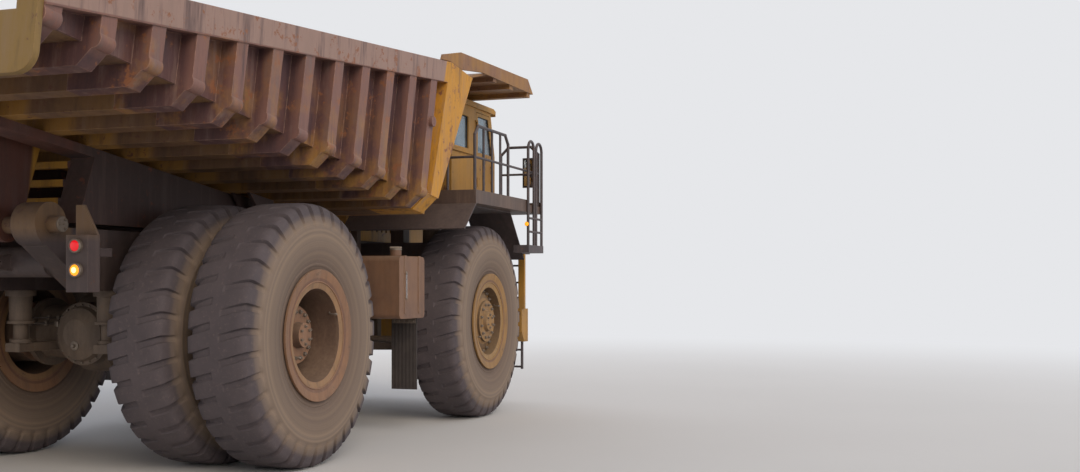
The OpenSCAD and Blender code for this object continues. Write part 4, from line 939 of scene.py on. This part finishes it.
# rigid pipes clipped along the outside of the frame's rails, x from the rear axle
railKit = {"radius": 0.011, "high": (1.94, 1.99), "from": 2.15, "to": 3.2, "probe": (2.4, 1.02),
           "clipEvery": 0.25}
heap = newHeap()
for hand in sides.values():
    probeX, probeY = railKit["probe"]
    face = touch("frame", (axleX + probeX, hand * probeY, railKit["high"][0]), (0, -hand, 0))
    if not face:
        continue
    inside, y = face.y - hand * 0.01, face.y + hand * (railKit["radius"] + 0.006)
    start, end = axleX + railKit["from"], axleX + railKit["to"]
    for z in railKit["high"]:
        run = bent([(start, inside, z), (start + 0.01, y, z), (end - 0.01, y, z), (end, inside, z)], 0.03)
        pile(heap, swept(run, railKit["radius"], 10), None, 1)
    lowest, highest = railKit["high"]
    for k in range(1, int((railKit["to"] - railKit["from"]) / railKit["clipEvery"])):
        x = start + k * railKit["clipEvery"]
        ys = sorted((face.y - hand * 0.002, y + hand * 0.014))
        pile(heap, slab((x - 0.02, ys[0], lowest - 0.022), (x + 0.02, ys[1], highest + 0.022), 0.005))
        mid = Vector((x, y + hand * 0.014, (lowest + highest) / 2))
        knob(heap, mid, (0, hand, 0), [(0, 0), (0.009, 0), (0.009, 0.007), (0, 0.008)], 6)
makePiece("railPipes", heap, [platedSteel, pipeSteel])

# the cap's place is x from the rear axle and y, the gauge's is x from the rear axle and z
tankKit = {"cap": 0.075, "capAt": (2.44, 2.23), "gauge": 0.3, "gaugeAt": (2.25, 1.85)}
heap = newHeap()
for hand in sides.values():
    x, y = tankKit["capAt"]
    top = touch("tanks", (axleX + x, hand * y, 3.0), (0, 0, -1))
    r = tankKit["cap"]
    cap = [(0, -0.01), (r, -0.01), (r, 0.004), (r * 0.92, 0.012), (r * 0.5, 0.016), (0, 0.016)]
    knob(heap, top, (0, 0, 1), cap)
    pile(heap, slab((-0.011, -r, 0.012), (0.011, r, 0.034), 0.006), facing(top, spin=0.6))
    x, z = tankKit["gaugeAt"]
    face = touch("tanks", (axleX + x, hand * 3.5, z), (0, -hand, 0))
    if face:
        half = tankKit["gauge"] / 2
        socket = [(0, -0.005), (0.02, -0.005), (0.02, 0.012), (0.012, 0.018), (0, 0.018)]
        for z in (face.z - half, face.z + half):
            knob(heap, (face.x, face.y - hand * 0.004, z), (0, hand, 0), socket, 16)
        tube = [face + Vector((0, hand * 0.008, k * half)) for k in (-1, 1)]
        pile(heap, swept(tube, 0.008, 10), None, 1)
makePiece("tankFittings", heap, [platedSteel, clearLens], "chassis")

# clamping bars with their bolts along the top of each mud flap
flapKit = {"y": (2.04, 2.36), "thick": 0.008, "firstBolt": 2.07, "boltEvery": 0.065, "bolts": 5}
heap = newHeap()
low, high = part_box("mud_flaps")
for hand in sides.values():
    for x, along in ((low.x, -1), (high.x, 1)):
        ys = sorted(hand * y for y in flapKit["y"])
        xs = sorted((x, x + along * flapKit["thick"]))
        pile(heap, slab((xs[0], ys[0], high.z - 0.07), (xs[1], ys[1], high.z - 0.01), 0.002))
        for k in range(flapKit["bolts"]):
            y = hand * (flapKit["firstBolt"] + k * flapKit["boltEvery"])
            knob(heap, (x + along * flapKit["thick"], y, high.z - 0.04), (along, 0, 0),
                 [(0, 0), (0.013, 0), (0.013, 0.011), (0.01, 0.014), (0, 0.014)], 6)
makePiece("flapClamps", heap, [platedSteel])

hoistKit = {
    "lean": (-0.230323, 0, 0.973114),  # the barrels' direction at rest, from the lower pin up
    "pipe": 0.014, "fromFoot": 0.35, "fromMouth": 0.3, "off": 0.03, "clips": (0.2, 0.5, 0.8),
}
for side, hand in sides.items():
    lean = Vector(hoistKit["lean"])
    low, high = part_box("hoist_barrel_" + side)
    # the barrel leans back: its mouth is at the high, rear end and its pin at the low, front one
    r = (high.y - low.y) / 2
    foot = Vector((high.x - r * 0.9, (low.y + high.y) / 2, low.z + r * 0.9))
    mouth = foot + lean * ((high.z - low.z - r) / lean.z)
    edge, off = Vector((0, hand * (r - 0.012), 0)), Vector((0, hand * hoistKit["off"], 0))
    start = foot + lean * hoistKit["fromFoot"] + edge
    end = mouth - lean * hoistKit["fromMouth"] + edge
    heap = newHeap()
    pile(heap, swept(bent([start - off, start + off, end + off, end - off], 0.05), hoistKit["pipe"], 10))
    clip = [(0, -0.02), (0.024, -0.02), (0.024, 0.02), (0, 0.02)]
    for k in hoistKit["clips"]:
        knob(heap, start.lerp(end, k) + off, lean, clip, 12)
    makePiece("hoistPipe" + side.title(), heap, [pipeSteel], "hoist_barrel_" + side)

# end caps with their bolts and grease nipples on the pins of the body and the hoists
pinKit = {
    "places": [(-3.195, 2.42, 0.074), (0.405, 1.0, 0.05)],  # x, z, cap's radius
    "thick": 0.016, "nut": 0.024, "leastY": 0.78,  # no cap where the pin's end isn't met
}
heap = newHeap()
for hand in sides.values():
    out = Vector((0, hand, 0))
    thick = pinKit["thick"]
    for x, z, r in pinKit["places"]:
        spot = touch("frame", (x, hand * 1.6, z), -out)
        if not spot or abs(spot.y) < pinKit["leastY"]:
            continue
        cap = [(0, -0.002), (r, -0.002), (r, thick - 0.005), (r - 0.005, thick), (0, thick)]
        knob(heap, spot, out, cap, 32)
        nutRing(heap, spot + out * thick, out, r * 0.62, 3, pinKit["nut"])
        nipple = [(0, 0), (0.009, 0), (0.009, 0.01), (0.005, 0.016), (0, 0.018)]
        knob(heap, spot, out, [(wide, thick + up) for wide, up in nipple], 10)
makePiece("pinCaps", heap, [platedSteel])

# radiator cap and side latches of the hood
hoodKit = {
    "cap": (4.85, 0.3, 0.06),  # x, y, radius
    "latches": (3.3, 4.1, 4.9), "high": 2.3, "leastY": 0.7,  # no latch where the hood's side isn't met
}
heap = newHeap()
x, y, r = hoodKit["cap"]
spot = touch("hood", (x, y, 4.0), (0, 0, -1))
knob(heap, spot, (0, 0, 1), [(0, -0.004), (r, -0.004), (r, 0.018), (r * 0.9, 0.024), (0, 0.026)], 32)
pile(heap, slab((-r * 0.95, -0.012, 0.02), (r * 0.95, 0.012, 0.042), 0.006), facing(spot, spin=0.5))
for hand in sides.values():
    for x in hoodKit["latches"]:
        face = touch("hood", (x, hand * 1.5, hoodKit["high"]), (0, -hand, 0))
        if not face or abs(face.y) < hoodKit["leastY"]:
            continue
        ys = sorted((face.y - hand * 0.002, face.y + hand * 0.008))
        pile(heap, slab((x - 0.03, ys[0], face.z - 0.06), (x + 0.03, ys[1], face.z + 0.06), 0.003))
        grip = [(0, 0), (0.012, 0), (0.012, 0.014), (0.02, 0.018), (0.02, 0.03), (0, 0.032)]
        knob(heap, face + Vector((0, hand * 0.008, 0.02)), (0, hand, 0), grip, 16)
makePiece("hoodFittings", heap, [platedSteel], "chassis")
print("pipes, clamps and fittings done")
